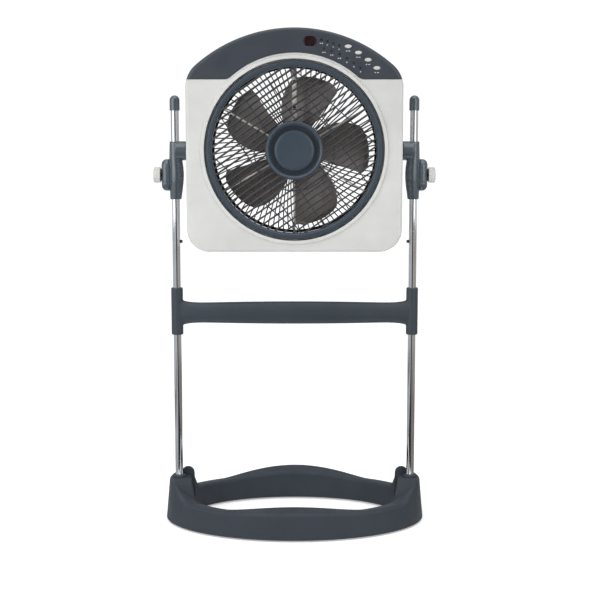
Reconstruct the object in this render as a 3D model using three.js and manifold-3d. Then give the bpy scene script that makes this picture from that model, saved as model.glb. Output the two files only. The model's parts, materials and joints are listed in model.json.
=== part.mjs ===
// Box fan on a hoop stand: a fan head with a turning louvre grille, hung between two tubes.
// Millimetres, +Z up, front of the fan towards -Y. The origin is on the floor under the middle.
import * as THREE from "three";
import { mergeVertices } from "three/addons/utils/BufferGeometryUtils.js";
import Module from "manifold-3d";

const wasm = await Module();
wasm.setup();

// ---- driving dimensions ------------------------------------------------------------------
const GAP = 0.3; // clearance between pieces that touch
const WALL = 3; // thickness of the moulded shells
const PIVOT_Z = 756; // height of the head's pivot, which is also the fan's axis

const TUBE_X = 238.5; // half the distance between the two upright tubes
const TUBE_R = 8;
const TUBE_WALL = 1.2;
const TUBE_BORE = TUBE_R + GAP; // bore of every sleeve that a tube stands in
const TUBE_FOOT_Z = 25;
const TUBE_JOIN_Z = 428;
const TUBE_TOP_Z = 856;

const BASE = { outX: 257, outY: 161, inX: 214, inY: 129, flare: 8, wall: 4, lift: 3 };
const BASE_END_Z = 86; // top of the hoop at its two ends, round the sockets
const BASE_FRONT = { outer: 52, inner: 47, outerHump: 4, innerHump: 14 };
const BASE_BACK = { outer: 47, inner: 50, outerHump: 22, innerHump: 9 };
const HUMP_SHARE = 0.62; // how far the hump in the middle reaches along the hoop
const END_SHARE = { outer: 0.84, inner: 0.93, to: 0.99 }; // where each edge climbs to the ends
const SOCKET_Z = 90;
const EAR = { width: 26, thick: 7, low: 40, top: 103, x: TUBE_X - 17, y: 12 };
const PAD = { r: 9, high: 2.7, angle: 52, post: 46 };

const BAR = { low: 383, high: 479.5, mid: 428, endHalf: 19, midHalf: 23, depth: 11, sleeveR: 11.8 };
const CAP = { low: 834, high: 864, r: 10 };
const STOP = { z: 573, r: 3.2, out: 4.5 };

const BRACKET = { low: 658, seam: 694, high: 773, bottomR: 11.5, bellyR: 15, topR: 10.4 };
const LUG = { r: 19, inner: 216 };
const BOSS = { z: 706.5, halfX: 36, halfY: 15, halfZ: 33, out: 28 };
const KNOB = { r: 15.5, thick: 13.5, inner: 29.7, ridges: 8, collarR: 12.5 };

const HEAD = { halfX: 212, top: 236, bottom: -199, archR: 294, shoulder: 58, corner: 45 };
const HEAD_FRONT = -60;
const HEAD_BACK = 60;
const SPLIT = 0.15; // half the joint line between the front and the rear shell
const OPENING_R = 176.5;
const DUCT_R = OPENING_R + WALL;
const LIP = { r: 184.5, proud: 4 };
const PANEL = { line: 137, arc: 188, fillet: 18, proud: 1.5 };

const GRILLE = { outR: 173.5, inR: 161.5, front: -63, back: -48, slatFront: -61, slatBack: -51 };
const SLAT = { pitch: 24, thick: 2.6, tilt: 33, braces: [-82, 82] };
const GRILLE_CAP = { r: 57, discR: 39, front: -74, back: -50 };
const SPIDER = { r: 175.8, ring: 3, front: -45, back: -41, arm: 9, rib: 4, hub: 30, arms: 6 };
const GRILLE_MOTOR = { r: 24, front: -40.5, back: -29 };

const BLADE = { count: 5, rootR: 36, tipR: 150, firstAngle: -19, front: -17, back: 14, thick: 2.2 };
const BLADE_ROWS = [0, 0.3, 0.6, 0.85, 0.94, 0.98, 1]; // shares of the way from root to tip
const HUB = { r: 40, front: -17, back: 14 };
const NUT = { r: 14, front: -27, back: -17.5 };
const SHAFT = { r: 4, front: -24.5, back: 48 };
const MOTOR = { r: 43, front: 17, back: 51 };
const MOUNT_PLATE = { r: 46, front: 51.5, back: 55 };
const GUARD = { outR: 169.5, inR: 164.5, hubR: 50, front: 55.5, back: 59.5, ribs: 16 };

const BOARD = { front: -50, back: -48.4, inR: 211, outR: 230, from: 4, to: 48 };
const LEDS = { r: 2.1, hole: 2.5, front: -62.6 };
const LED_ROWS = [
  { r: 219, from: 13.8, step: 3.15, count: 4 },
  { r: 204.4, from: 16.2, step: 4.52, count: 6 },
];
const LED_CARRIER = { front: -56, back: -54.4, half: 4.5, margin: 2 };
const BUTTONS = { r: 225, from: 27.5, step: 5.9, count: 4, halfX: 6.6, halfZ: 3.4 };
const IR = { angle: 8.2, r: 212, halfX: 12.8, halfZ: 9.4, corner: 8 };

const CORD = { x: 150, z: -168 };
const CASE_SCREWS = { x: 192, z: 150 };

const ROUND = 36; // sides of the big circles of the head
const rad = THREE.MathUtils.degToRad;

// ---- solids ------------------------------------------------------------------------------

// A closed three.js geometry as a manifold solid, with its faces turned outwards.
function solid(geometry) {
  const bare = new THREE.BufferGeometry();
  bare.setAttribute("position", geometry.getAttribute("position"));
  if (geometry.index) bare.setIndex(geometry.index);
  const merged = mergeVertices(bare, 1e-4);
  const build = (triVerts) =>
    new wasm.Manifold(
      new wasm.Mesh({
        numProp: 3,
        vertProperties: new Float32Array(merged.attributes.position.array),
        triVerts,
      }),
    );
  const triangles = new Uint32Array(merged.index.array);
  const made = build(triangles);
  return made.volume() < 0 ? build(triangles.reverse()) : made;
}

// A manifold solid back as a three.js geometry.
function geometryOf(made) {
  const mesh = made.getMesh();
  const geometry = new THREE.BufferGeometry();
  geometry.setAttribute("position", new THREE.BufferAttribute(mesh.vertProperties, 3));
  geometry.setIndex(new THREE.BufferAttribute(mesh.triVerts, 1));
  geometry.computeVertexNormals();
  return geometry;
}

const join = (...parts) => parts.reduce((all, next) => all.add(next));
const cut = (body, ...tools) => tools.reduce((left, tool) => left.subtract(tool), body);

// A profile of [radius, height] pairs turned about one axis; it starts and ends on the axis,
// or closes on itself.
function turned(profile, axis, sides = 24) {
  const points = profile.map(([r, h]) => new THREE.Vector2(r, h));
  const geometry = new THREE.LatheGeometry(points, sides);
  if (axis === "z") geometry.rotateX(Math.PI / 2);
  if (axis === "x") geometry.rotateZ(-Math.PI / 2);
  return geometry;
}

// A plain round bar between two heights on its axis.
function bar(r, low, high, axis, sides = 24) {
  const profile = [
    [0, low],
    [r, low],
    [r, high],
    [0, high],
  ];
  return solid(turned(profile, axis, sides));
}

// A ring of rectangular section.
function ring(inner, outer, low, high, axis, sides = 24) {
  const profile = [
    [inner, low],
    [outer, low],
    [outer, high],
    [inner, high],
    [inner, low],
  ];
  return solid(turned(profile, axis, sides));
}

// An outline drawn in X and Z, given thickness from front to back along Y.
function slab(shape, front, back, curveSegments = 5) {
  const options = { depth: back - front, bevelEnabled: false, curveSegments };
  const geometry = new THREE.ExtrudeGeometry(shape, options);
  geometry.rotateX(Math.PI / 2);
  geometry.translate(0, back, 0);
  return solid(geometry);
}

function block(sizeX, sizeY, sizeZ, x, y, z) {
  const geometry = new THREE.BoxGeometry(sizeX, sizeY, sizeZ);
  geometry.translate(x, y, z);
  return solid(geometry);
}

// The same solid moved, or mirrored to the other side of the fan.
const moved = (made, x, y, z) => made.translate([x, y, z]);
const toSide = (made, side) => (side > 0 ? made : made.mirror([1, 0, 0]));

// ---- outlines of the head ----------------------------------------------------------------

// The head's outline, drawn in by an inset: straight sides, round lower corners, arched top.
function headOutline(inset = 0) {
  const half = HEAD.halfX - inset;
  const low = HEAD.bottom + inset;
  const corner = HEAD.corner - inset;
  const shoulder = HEAD.shoulder - inset;
  const archZ = HEAD.top - HEAD.archR;
  const shoulderX = HEAD.halfX - HEAD.shoulder;
  const reach = HEAD.archR - HEAD.shoulder;
  const shoulderZ = archZ + Math.sqrt(reach * reach - shoulderX * shoulderX);
  const turn = Math.atan2(shoulderZ - archZ, shoulderX);
  const shape = new THREE.Shape();
  shape.moveTo(-(half - corner), low);
  shape.lineTo(half - corner, low);
  shape.absarc(half - corner, low + corner, corner, -Math.PI / 2, 0, false);
  shape.absarc(shoulderX, shoulderZ, shoulder, 0, turn, false);
  shape.absarc(0, archZ, HEAD.archR - inset, turn, Math.PI - turn, false);
  shape.absarc(-shoulderX, shoulderZ, shoulder, Math.PI - turn, Math.PI, false);
  shape.absarc(-(half - corner), low + corner, corner, Math.PI, Math.PI * 1.5, false);
  return shape;
}

// Everything above the control panel's lower edge: two level shoulders and an arc round the fan.
function panelZone(gap) {
  const f = PANEL.fillet;
  const centreZ = PANEL.line + f;
  const centreR = PANEL.arc + f;
  const centreX = Math.sqrt(centreR * centreR - centreZ * centreZ);
  const turn = Math.atan2(centreZ, centreX);
  const wide = HEAD.halfX + 30;
  const shape = new THREE.Shape();
  shape.moveTo(-wide, PANEL.line + gap);
  shape.lineTo(-centreX, PANEL.line + gap);
  shape.absarc(-centreX, centreZ, f - gap, -Math.PI / 2, -turn, false);
  shape.absarc(0, 0, PANEL.arc + gap, Math.PI - turn, turn, true);
  shape.absarc(centreX, centreZ, f - gap, Math.PI + turn, Math.PI * 1.5, false);
  shape.lineTo(wide, PANEL.line + gap);
  shape.lineTo(wide, HEAD.top + 30);
  shape.lineTo(-wide, HEAD.top + 30);
  return shape;
}

// A point on the panel, by its distance from the fan's axis and its angle from straight up.
function panelPoint(r, angle) {
  return { x: r * Math.sin(rad(angle)), z: r * Math.cos(rad(angle)) };
}

// A piece of a flat ring between two angles from straight up.
function sector(inner, outer, from, to, front, back) {
  const shape = new THREE.Shape();
  shape.absarc(0, 0, outer, rad(90 - to), rad(90 - from), false);
  shape.absarc(0, 0, inner, rad(90 - from), rad(90 - to), true);
  return slab(shape, front, back, 2);
}

// ---- stand -------------------------------------------------------------------------------

// Height of the hoop's top edge at one angle round it: a low hump in the middle of the front and
// of the back, and a climb to the sockets at the ends.
function hoopTop(angle, edge) {
  const side = Math.sin(angle) < 0 ? BASE_FRONT : BASE_BACK;
  const along = Math.abs(Math.cos(angle));
  const near = Math.max(0, 1 - (along / HUMP_SHARE) ** 2);
  const middle = side[edge] + side[edge + "Hump"] * near ** 1.4;
  const climb = THREE.MathUtils.smoothstep(along, END_SHARE[edge], END_SHARE.to);
  return middle + (BASE_END_Z - middle) * climb;
}

// The hoop itself: a channel, open underneath, swept round an oval.
function hoop() {
  const steps = 36;
  const place = (angle, inner, outer, z) => {
    const reachX = outer === null ? BASE.inX + inner : BASE.outX + outer;
    const reachY = outer === null ? BASE.inY + inner : BASE.outY + outer;
    return [reachX * Math.cos(angle), reachY * Math.sin(angle), z];
  };
  const section = (angle) => {
    const outer = hoopTop(angle, "outer");
    const inner = hoopTop(angle, "inner");
    const w = BASE.wall;
    const edge = outer > SOCKET_Z - 10 ? 2.5 : 5; // the ends have a sharper outer edge
    return [
      place(angle, null, BASE.flare, BASE.lift),
      place(angle, null, 1, outer - edge - 1),
      place(angle, null, -edge, outer),
      place(angle, 4, null, inner),
      place(angle, 0, null, inner - 4),
      place(angle, 0, null, BASE.lift),
      place(angle, w, null, BASE.lift),
      place(angle, w, null, inner - w - 5),
      place(angle, null, -6, outer - w - 6),
      place(angle, null, BASE.flare - w, BASE.lift),
    ];
  };
  const count = section(0).length;
  const positions = [];
  for (let i = 0; i < steps; i++) {
    for (const point of section((i * 2 * Math.PI) / steps)) positions.push(...point);
  }
  const index = [];
  for (let i = 0; i < steps; i++) {
    const here = i * count;
    const next = ((i + 1) % steps) * count;
    for (let k = 0; k < count; k++) {
      const l = (k + 1) % count;
      index.push(here + k, next + k, next + l, here + k, next + l, here + l);
    }
  }
  const geometry = new THREE.BufferGeometry();
  geometry.setAttribute("position", new THREE.Float32BufferAttribute(positions, 3));
  geometry.setIndex(index);
  return solid(geometry);
}

// Where the four foot pads sit under the hoop.
function padPlaces() {
  const middleX = (BASE.inX + BASE.outX) / 2 + 2;
  const middleY = (BASE.inY + BASE.outY) / 2 + 2;
  const angles = [180 + PAD.angle, -PAD.angle, PAD.angle, 180 - PAD.angle];
  return angles.map((angle) => ({
    x: middleX * Math.cos(rad(angle)),
    y: middleY * Math.sin(rad(angle)),
  }));
}

function baseRing() {
  let body = hoop();
  const socket = [
    [0, BASE.lift],
    [17, BASE.lift],
    [12.2, SOCKET_Z - 2],
    [11, SOCKET_Z],
    [0, SOCKET_Z],
  ];
  const ear = new THREE.Shape();
  const half = EAR.width / 2;
  ear.moveTo(-half, EAR.low);
  ear.lineTo(half, EAR.low);
  ear.absarc(0, EAR.top - half, half, 0, Math.PI, false);
  for (const side of [-1, 1]) {
    const post = moved(solid(turned(socket, "z", 14)), side * TUBE_X, 0, 0);
    const tab = moved(slab(ear, EAR.y, EAR.y + EAR.thick), side * EAR.x, 0, 0);
    body = join(body, post, tab);
  }
  for (const { x, y } of padPlaces()) {
    body = body.add(moved(bar(PAD.r + 1, BASE.lift, PAD.post, "z", 12), x, y, 0));
  }
  for (const side of [-1, 1]) {
    const hole = bar(TUBE_BORE, TUBE_FOOT_Z - 1, SOCKET_Z + 1, "z", 14);
    body = body.subtract(moved(hole, side * TUBE_X, 0, 0));
  }
  return body;
}

function footPad() {
  const edge = 1;
  const profile = [
    [0, 0],
    [PAD.r - edge, 0],
    [PAD.r, edge],
    [PAD.r, PAD.high],
    [0, PAD.high],
  ];
  return solid(turned(profile, "z", 12));
}

const tube = (low, high) => ring(TUBE_R - TUBE_WALL, TUBE_R, low, high, "z", 14);

function upperTube() {
  const hole = bar(STOP.r + GAP, -TUBE_R - 2, 0, "x", 12);
  return tube(TUBE_JOIN_Z + 0.5, TUBE_TOP_Z).subtract(moved(hole, 0, 0, STOP.z));
}

// The handle bar between the tubes: deeper in the middle, with a sleeve at each end.
function crossbar() {
  const stations = 10;
  const sides = 12;
  const reach = TUBE_X - 4;
  const positions = [];
  for (let i = 0; i <= stations; i++) {
    const along = (2 * i) / stations - 1;
    const middle = 1 - along * along;
    const end = Math.pow(Math.abs(along), 14);
    const halfZ = BAR.endHalf + (BAR.midHalf - BAR.endHalf) * middle + 10 * end;
    for (let k = 0; k < sides; k++) {
      const turn = (k * 2 * Math.PI) / sides;
      const y = BAR.depth * Math.cos(turn) * (1 - 0.1 * end);
      positions.push(along * reach, y, BAR.mid + halfZ * Math.sin(turn));
    }
  }
  const last = stations * sides;
  const index = [];
  for (let i = 0; i < stations; i++) {
    for (let k = 0; k < sides; k++) {
      const l = (k + 1) % sides;
      const here = i * sides;
      const next = here + sides;
      index.push(here + k, next + k, next + l, here + k, next + l, here + l);
    }
  }
  for (let k = 1; k < sides - 1; k++) {
    index.push(0, k, k + 1);
    index.push(last, last + k + 1, last + k);
  }
  const geometry = new THREE.BufferGeometry();
  geometry.setAttribute("position", new THREE.Float32BufferAttribute(positions, 3));
  geometry.setIndex(index);
  let body = solid(geometry);
  for (const side of [-1, 1]) {
    body = body.add(moved(bar(BAR.sleeveR, BAR.low, BAR.high, "z", 14), side * TUBE_X, 0, 0));
  }
  for (const side of [-1, 1]) {
    const bore = bar(TUBE_BORE, BAR.low - 1, BAR.high + 1, "z", 14);
    body = body.subtract(moved(bore, side * TUBE_X, 0, 0));
  }
  return body;
}

function tubeCap() {
  const dome = 7;
  const profile = [
    [TUBE_BORE, CAP.low],
    [CAP.r - 1, CAP.low],
    [CAP.r, CAP.low + 1],
    [CAP.r, CAP.high - dome],
    [CAP.r * 0.86, CAP.high - dome / 2.4],
    [CAP.r * 0.5, CAP.high - 0.8],
    [0, CAP.high],
    [0, TUBE_TOP_Z + 1],
    [TUBE_BORE, TUBE_TOP_Z + 1],
    [TUBE_BORE, CAP.low],
  ];
  return solid(turned(profile, "z", 14));
}

const stopPin = () => bar(STOP.r, -TUBE_R - STOP.out, -TUBE_R + 3, "x", 12);

// ---- carriage: what slides on the tubes --------------------------------------------------

// The upper bracket on the right-hand tube: a vase round the tube, a lug towards the head
// that takes the pivot pin, and a boss outside for the clamp screw.
function bracket() {
  const low = BRACKET.seam + 0.5;
  const vase = [
    [0, low],
    [BRACKET.bellyR - 1.2, low],
    [BRACKET.bellyR, low + 12],
    [BRACKET.bellyR - 1.6, low + 30],
    [BRACKET.topR + 1.2, BRACKET.high - 20],
    [BRACKET.topR, BRACKET.high],
    [0, BRACKET.high],
  ];
  const body = solid(turned(vase, "z", 14));
  const lug = moved(bar(LUG.r, LUG.inner - TUBE_X, 0, "x", 18), 0, 0, PIVOT_Z);
  const dome = new THREE.SphereGeometry(1, 14, 8);
  dome.scale(BOSS.halfX, BOSS.halfY, BOSS.halfZ);
  dome.translate(0, 0, BOSS.z);
  const flat = block(20, 60, 80, BOSS.out + 10, 0, BOSS.z);
  const half = block(60, 60, 120, -30, 0, BOSS.z);
  const under = block(90, 60, 60, 0, 0, BRACKET.seam + 0.5 - 30);
  const boss = cut(solid(dome), flat, half, under);
  const pinHole = moved(bar(6 + GAP, LUG.inner - TUBE_X - 1, -11.5, "x", 16), 0, 0, PIVOT_Z);
  const screwHole = moved(bar(3.5 + GAP, 0, 40, "x", 12), 0, 0, BOSS.z);
  const bore = bar(TUBE_BORE, BRACKET.seam - 10, BRACKET.high + 1, "z", 14);
  const above = block(90, 60, 40, 0, 0, BRACKET.high + 20);
  return cut(join(body, lug, boss), bore, pinHole, screwHole, above);
}

// The clamp collar below the bracket's seam.
function bracketCollar() {
  const high = BRACKET.seam - 0.5;
  const profile = [
    [TUBE_BORE, BRACKET.low],
    [BRACKET.bottomR - 1, BRACKET.low],
    [BRACKET.bottomR, BRACKET.low + 2],
    [BRACKET.bottomR + 1.6, high - 12],
    [BRACKET.bellyR - 1.4, high],
    [TUBE_BORE, high],
    [TUBE_BORE, BRACKET.low],
  ];
  return solid(turned(profile, "z", 14));
}

// A ridged hand knob, round the X axis, its inner face at x = 0.
function clampKnob() {
  const shape = new THREE.Shape();
  const points = KNOB.ridges * 4;
  for (let i = 0; i <= points; i++) {
    const turn = (i * 2 * Math.PI) / points;
    const r = KNOB.r - 0.7 + 0.7 * Math.cos(KNOB.ridges * turn);
    const x = r * Math.cos(turn);
    const y = r * Math.sin(turn);
    if (i === 0) shape.moveTo(x, y);
    else if (i < points) shape.lineTo(x, y);
  }
  const options = { depth: KNOB.thick, bevelEnabled: false };
  const geometry = new THREE.ExtrudeGeometry(shape, options);
  geometry.rotateY(Math.PI / 2);
  const socket = bar(4 + GAP, -1, 8, "x", 16);
  return solid(geometry).subtract(socket);
}

// The clamp screw: its tip presses on the tube, its neck carries the knob.
function clampScrew() {
  const profile = [
    [0, TUBE_R + 0.4],
    [3.4, TUBE_R + 0.4],
    [3.4, BOSS.out + GAP],
    [KNOB.collarR, BOSS.out + GAP],
    [KNOB.collarR, KNOB.inner - GAP],
    [4, KNOB.inner - GAP],
    [4, KNOB.inner + 7],
    [0, KNOB.inner + 7],
  ];
  return solid(turned(profile, "x", 12));
}

// ---- head --------------------------------------------------------------------------------

const pivotHole = (r) => bar(r, -HEAD.halfX - 20, HEAD.halfX + 20, "x", 16);

// Only the sides of the head carry the pivot holes, not the duct inside.
function sideHoles() {
  const middle = block(2 * DUCT_R + 8, 60, 60, 0, 0, 0);
  return pivotHole(6 + GAP).subtract(middle);
}

function frontHousing() {
  const outer = slab(headOutline(), HEAD_FRONT, -SPLIT);
  const inner = slab(headOutline(WALL), HEAD_FRONT + WALL, 1);
  const zone = slab(panelZone(0), HEAD_FRONT - 10, 10);
  const shell = cut(outer, inner, zone);
  const duct = [
    [OPENING_R, HEAD_FRONT - LIP.proud + 1.5],
    [OPENING_R + 1.5, HEAD_FRONT - LIP.proud],
    [LIP.r - 3, HEAD_FRONT - LIP.proud],
    [LIP.r, HEAD_FRONT],
    [LIP.r, HEAD_FRONT + WALL],
    [DUCT_R, HEAD_FRONT + WALL],
    [DUCT_R, -SPLIT],
    [OPENING_R, -SPLIT],
    [OPENING_R, HEAD_FRONT - LIP.proud + 1.5],
  ];
  const opening = bar(OPENING_R + 0.5, HEAD_FRONT - 10, HEAD_FRONT + WALL + 1, "y", ROUND);
  return join(cut(shell, opening), solid(turned(duct, "y", ROUND))).subtract(sideHoles());
}

function rearHousing() {
  const outer = slab(headOutline(), SPLIT, HEAD_BACK);
  const inner = slab(headOutline(WALL), -1, HEAD_BACK - WALL);
  const duct = ring(OPENING_R, DUCT_R, SPLIT, HEAD_BACK, "y", ROUND);
  const lip = ring(GUARD.outR + 0.5, DUCT_R, HEAD_BACK - 2 * WALL, HEAD_BACK, "y", ROUND);
  const opening = bar(OPENING_R + 0.5, -10, HEAD_BACK + 10, "y", ROUND);
  const gland = moved(bar(7 + GAP, HEAD_BACK - 10, HEAD_BACK + 5, "y", 16), CORD.x, 0, CORD.z);
  const screws = screwPlaces().map(({ x, z }) => {
    return moved(bar(3.6, HEAD_BACK - 10, HEAD_BACK + 5, "y", 10), x, 0, z);
  });
  return cut(join(cut(outer, inner, opening), duct, lip), sideHoles(), gland, ...screws);
}

// The four case screws, in from the corners of the back.
function screwPlaces() {
  const { x, z } = CASE_SCREWS;
  return [
    { x: -x, z },
    { x, z },
    { x: -x, z: -z },
    { x, z: -z },
  ];
}

// A case screw in the rear shell, its head sunk in the back face.
function housingScrew() {
  const profile = [
    [0, HEAD_BACK - 30],
    [1.8, HEAD_BACK - 30],
    [1.8, HEAD_BACK - 3.2],
    [3.2, HEAD_BACK - 2.4],
    [3.2, HEAD_BACK - 0.6],
    [0, HEAD_BACK - 0.6],
  ];
  return solid(turned(profile, "y", 10));
}

// Where the cord of the real fan would come out at the back.
function cordGland() {
  const profile = [
    [3.6, HEAD_BACK - 8],
    [7, HEAD_BACK - 8],
    [7, HEAD_BACK + 0.5],
    [9, HEAD_BACK + 0.5],
    [9, HEAD_BACK + 2.5],
    [3.6, HEAD_BACK + 2.5],
    [3.6, HEAD_BACK - 8],
  ];
  return solid(turned(profile, "y", 16));
}

function ledPlaces() {
  const places = [];
  for (const row of LED_ROWS) {
    for (let i = 0; i < row.count; i++) places.push(panelPoint(row.r, row.from + i * row.step));
  }
  return places;
}

function buttonPlace(i) {
  return panelPoint(BUTTONS.r, BUTTONS.from + i * BUTTONS.step);
}

// An oval plug along Y, about the origin.
function oval(halfX, halfZ, front, back, sides = 10) {
  const geometry = new THREE.CylinderGeometry(1, 1, back - front, sides);
  geometry.scale(halfX, 1, halfZ);
  geometry.translate(0, (front + back) / 2, 0);
  return solid(geometry);
}

// A block with round corners, about the origin, through the thickness from front to back.
function roundedBlock(halfX, halfZ, corner, front, back) {
  const shape = new THREE.Shape();
  shape.absarc(halfX - corner, corner - halfZ, corner, -Math.PI / 2, 0, false);
  shape.absarc(halfX - corner, halfZ - corner, corner, 0, Math.PI / 2, false);
  shape.absarc(corner - halfX, halfZ - corner, corner, Math.PI / 2, Math.PI, false);
  shape.absarc(corner - halfX, corner - halfZ, corner, Math.PI, Math.PI * 1.5, false);
  return slab(shape, front, back, 2);
}

// The dark arched panel: a front face that wraps over the top of the head.
function controlPanel() {
  const front = HEAD_FRONT - PANEL.proud;
  const outer = slab(headOutline(), front, -SPLIT).intersect(slab(panelZone(GAP), front - 1, 1));
  const hollow = slab(headOutline(WALL), front + WALL, 1);
  const inner = hollow.intersect(slab(panelZone(WALL + GAP), front - 1, 2));
  let body = cut(outer, inner);
  for (const { x, z } of ledPlaces()) {
    body = body.subtract(moved(bar(LEDS.hole, front - 1, front + WALL + 1, "y", 8), x, 0, z));
  }
  for (let i = 0; i < BUTTONS.count; i++) {
    const { x, z } = buttonPlace(i);
    const hole = oval(BUTTONS.halfX + 0.6, BUTTONS.halfZ + 0.6, front - 1, front + WALL + 1);
    body = body.subtract(moved(hole, x, 0, z));
  }
  const eye = panelPoint(IR.r, IR.angle);
  const window = roundedBlock(IR.halfX + GAP, IR.halfZ + GAP, IR.corner, front - 1, front + WALL + 1);
  return body.subtract(moved(window, eye.x, 0, eye.z));
}

// The infrared window: a dark lens with a rim behind the panel.
function irWindow() {
  const front = HEAD_FRONT - PANEL.proud;
  const lens = roundedBlock(IR.halfX, IR.halfZ, IR.corner, front - 0.4, front + WALL + 1);
  const rim = roundedBlock(IR.halfX + 1.5, IR.halfZ + 1.5, IR.corner, front + WALL + GAP, front + WALL + 2);
  return join(lens, rim);
}

// The ten lamp lenses on their two arcs, moulded on one carrier.
function ledLenses() {
  const { front, back, half, margin } = LED_CARRIER;
  const [upper, lower] = LED_ROWS;
  let body = sector(lower.r, upper.r, upper.from + 1, upper.from + 8, front, back);
  for (const { r, from, step, count } of LED_ROWS) {
    const end = from + (count - 1) * step;
    body = body.add(sector(r - half, r + half, from - margin, end + margin, front, back));
  }
  for (const { x, z } of ledPlaces()) {
    body = body.add(moved(bar(LEDS.r, LEDS.front, back, "y", 6), x, 0, z));
  }
  return body;
}

// The circuit board behind the panel, with a push switch under each button.
function controlBoard() {
  let body = sector(BOARD.inR, BOARD.outR, BOARD.from, BOARD.to, BOARD.front, BOARD.back);
  for (let i = 0; i < BUTTONS.count; i++) {
    const { x, z } = buttonPlace(i);
    body = body.add(block(6, 3, 6, x, BOARD.front - 0.5, z));
  }
  return body;
}

// A push button: an oval cap with a flange that keeps it behind the panel.
function button() {
  const back = HEAD_FRONT - PANEL.proud + WALL;
  const face = HEAD_FRONT - PANEL.proud - 1.6;
  const capPiece = oval(BUTTONS.halfX, BUTTONS.halfZ, face, back + 1);
  const flange = oval(BUTTONS.halfX + 1.4, BUTTONS.halfZ + 1.2, back + GAP, back + 1.6);
  const stem = bar(2, back + 1, -54, "y", 10);
  return join(capPiece, flange, stem);
}

// The fixed spider in front of the blades, which carries the grille's small motor.
function frontSpider() {
  const { r, front, back } = SPIDER;
  const start = SPIDER.hub - 1;
  const length = r - start - 2;
  let body = ring(r - SPIDER.ring, r, front, back + 6, "y", ROUND);
  body = body.add(ring(3.4, SPIDER.hub, front, back, "y", 24));
  for (let i = 0; i < SPIDER.arms; i++) {
    const turn = 30 + (i * 360) / SPIDER.arms;
    const wide = turn === 90 ? SPIDER.arm : SPIDER.rib;
    const arm = block(length, back - front, wide, start + length / 2, (front + back) / 2, 0);
    body = body.add(arm.rotate([0, -turn, 0]));
  }
  return body;
}

function rearGuard() {
  const { front, back } = GUARD;
  let body = ring(GUARD.inR, GUARD.outR, front, back, "y", ROUND);
  body = body.add(bar(GUARD.hubR, front, back, "y", 24));
  for (let i = 0; i < GUARD.ribs; i++) {
    const length = GUARD.inR - GUARD.hubR + 4;
    const rib = block(length, 3, 2.4, GUARD.hubR - 2 + length / 2, (front + back) / 2, 0);
    body = body.add(rib.rotate([0, ((i + 0.5) * 360) / GUARD.ribs, 0]));
  }
  return body;
}

// The motor's can, with a bore for its shaft and rounded shoulders.
function motorBody() {
  const { r, front, back } = MOTOR;
  const profile = [
    [SHAFT.r + GAP, front],
    [14, front],
    [16, front + 4],
    [r - 6, front + 4],
    [r, front + 10],
    [r, back - 4],
    [r - 4, back],
    [SHAFT.r + GAP, back],
    [SHAFT.r + GAP, front],
  ];
  return solid(turned(profile, "y", 24));
}

const mountPlate = () => ring(12, MOUNT_PLATE.r, MOUNT_PLATE.front, MOUNT_PLATE.back, "y", 24);

// The motor's run capacitor, held in the space beside the duct at the foot of the head.
const capacitor = () => block(30, 20, 14, -176, 30, -175);

// A pivot pin on the right-hand side: a flange inside the head, a shank in the bracket's lug.
function pivotPin() {
  const wallInside = HEAD.halfX - WALL;
  const profile = [
    [0, wallInside - 8],
    [10, wallInside - 8],
    [10, wallInside - GAP],
    [6, wallInside - GAP],
    [6, LUG.inner + 10],
    [0, LUG.inner + 10],
  ];
  return solid(turned(profile, "x", 12));
}

const pivotWasher = () => ring(6 + GAP, 14, HEAD.halfX + GAP, LUG.inner - GAP, "x", 20);

// ---- impeller ----------------------------------------------------------------------------

// The angle that a blade covers at a share of its length: narrower outwards, rounded off at the
// tip. It starts on a radial line, apart from the round of the tip.
function bladeSpan(share) {
  const full = 62 - 8 * share - 19 * share * share;
  const round = Math.max(0, (share - 0.9) / 0.1);
  const width = Math.max(3, full * Math.sqrt(Math.max(0, 1 - round * round)));
  return { start: 0.3 * (full - width), width };
}

// One blade as a thin twisted sheet: a straight radial edge in front, a round swept edge behind.
function blade() {
  const rows = BLADE_ROWS.length - 1;
  const columns = 4;
  const reach = BLADE.tipR - BLADE.rootR;
  const grid = (side) => {
    const points = [];
    for (const share of BLADE_ROWS) {
      const r = BLADE.rootR + reach * share;
      const { start, width } = bladeSpan(share);
      const pitch = (BLADE.back - BLADE.front - 4) * (1 - 0.35 * share);
      for (let k = 0; k <= columns; k++) {
        const across = k / columns;
        const angle = rad(start + width * across);
        const y = (BLADE.front + BLADE.back) / 2 + pitch * (across - 0.5);
        points.push(r * Math.cos(angle), y + (side * BLADE.thick) / 2, r * Math.sin(angle));
      }
    }
    return points;
  };
  const positions = [...grid(-1), ...grid(1)];
  const wide = columns + 1;
  const back = (rows + 1) * wide;
  const index = [];
  const quad = (a, b, c, d) => index.push(a, b, c, a, c, d);
  for (let i = 0; i < rows; i++) {
    for (let k = 0; k < columns; k++) {
      const a = i * wide + k;
      quad(a, a + wide, a + wide + 1, a + 1);
      quad(back + a, back + a + 1, back + a + wide + 1, back + a + wide);
    }
    const low = i * wide;
    const high = low + columns;
    quad(low, back + low, back + low + wide, low + wide);
    quad(high, high + wide, back + high + wide, back + high);
  }
  for (let k = 0; k < columns; k++) {
    const tip = rows * wide + k;
    quad(k, k + 1, back + k + 1, back + k);
    quad(tip, back + tip, back + tip + 1, tip + 1);
  }
  const geometry = new THREE.BufferGeometry();
  geometry.setAttribute("position", new THREE.Float32BufferAttribute(positions, 3));
  geometry.setIndex(index);
  return solid(geometry);
}

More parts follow.
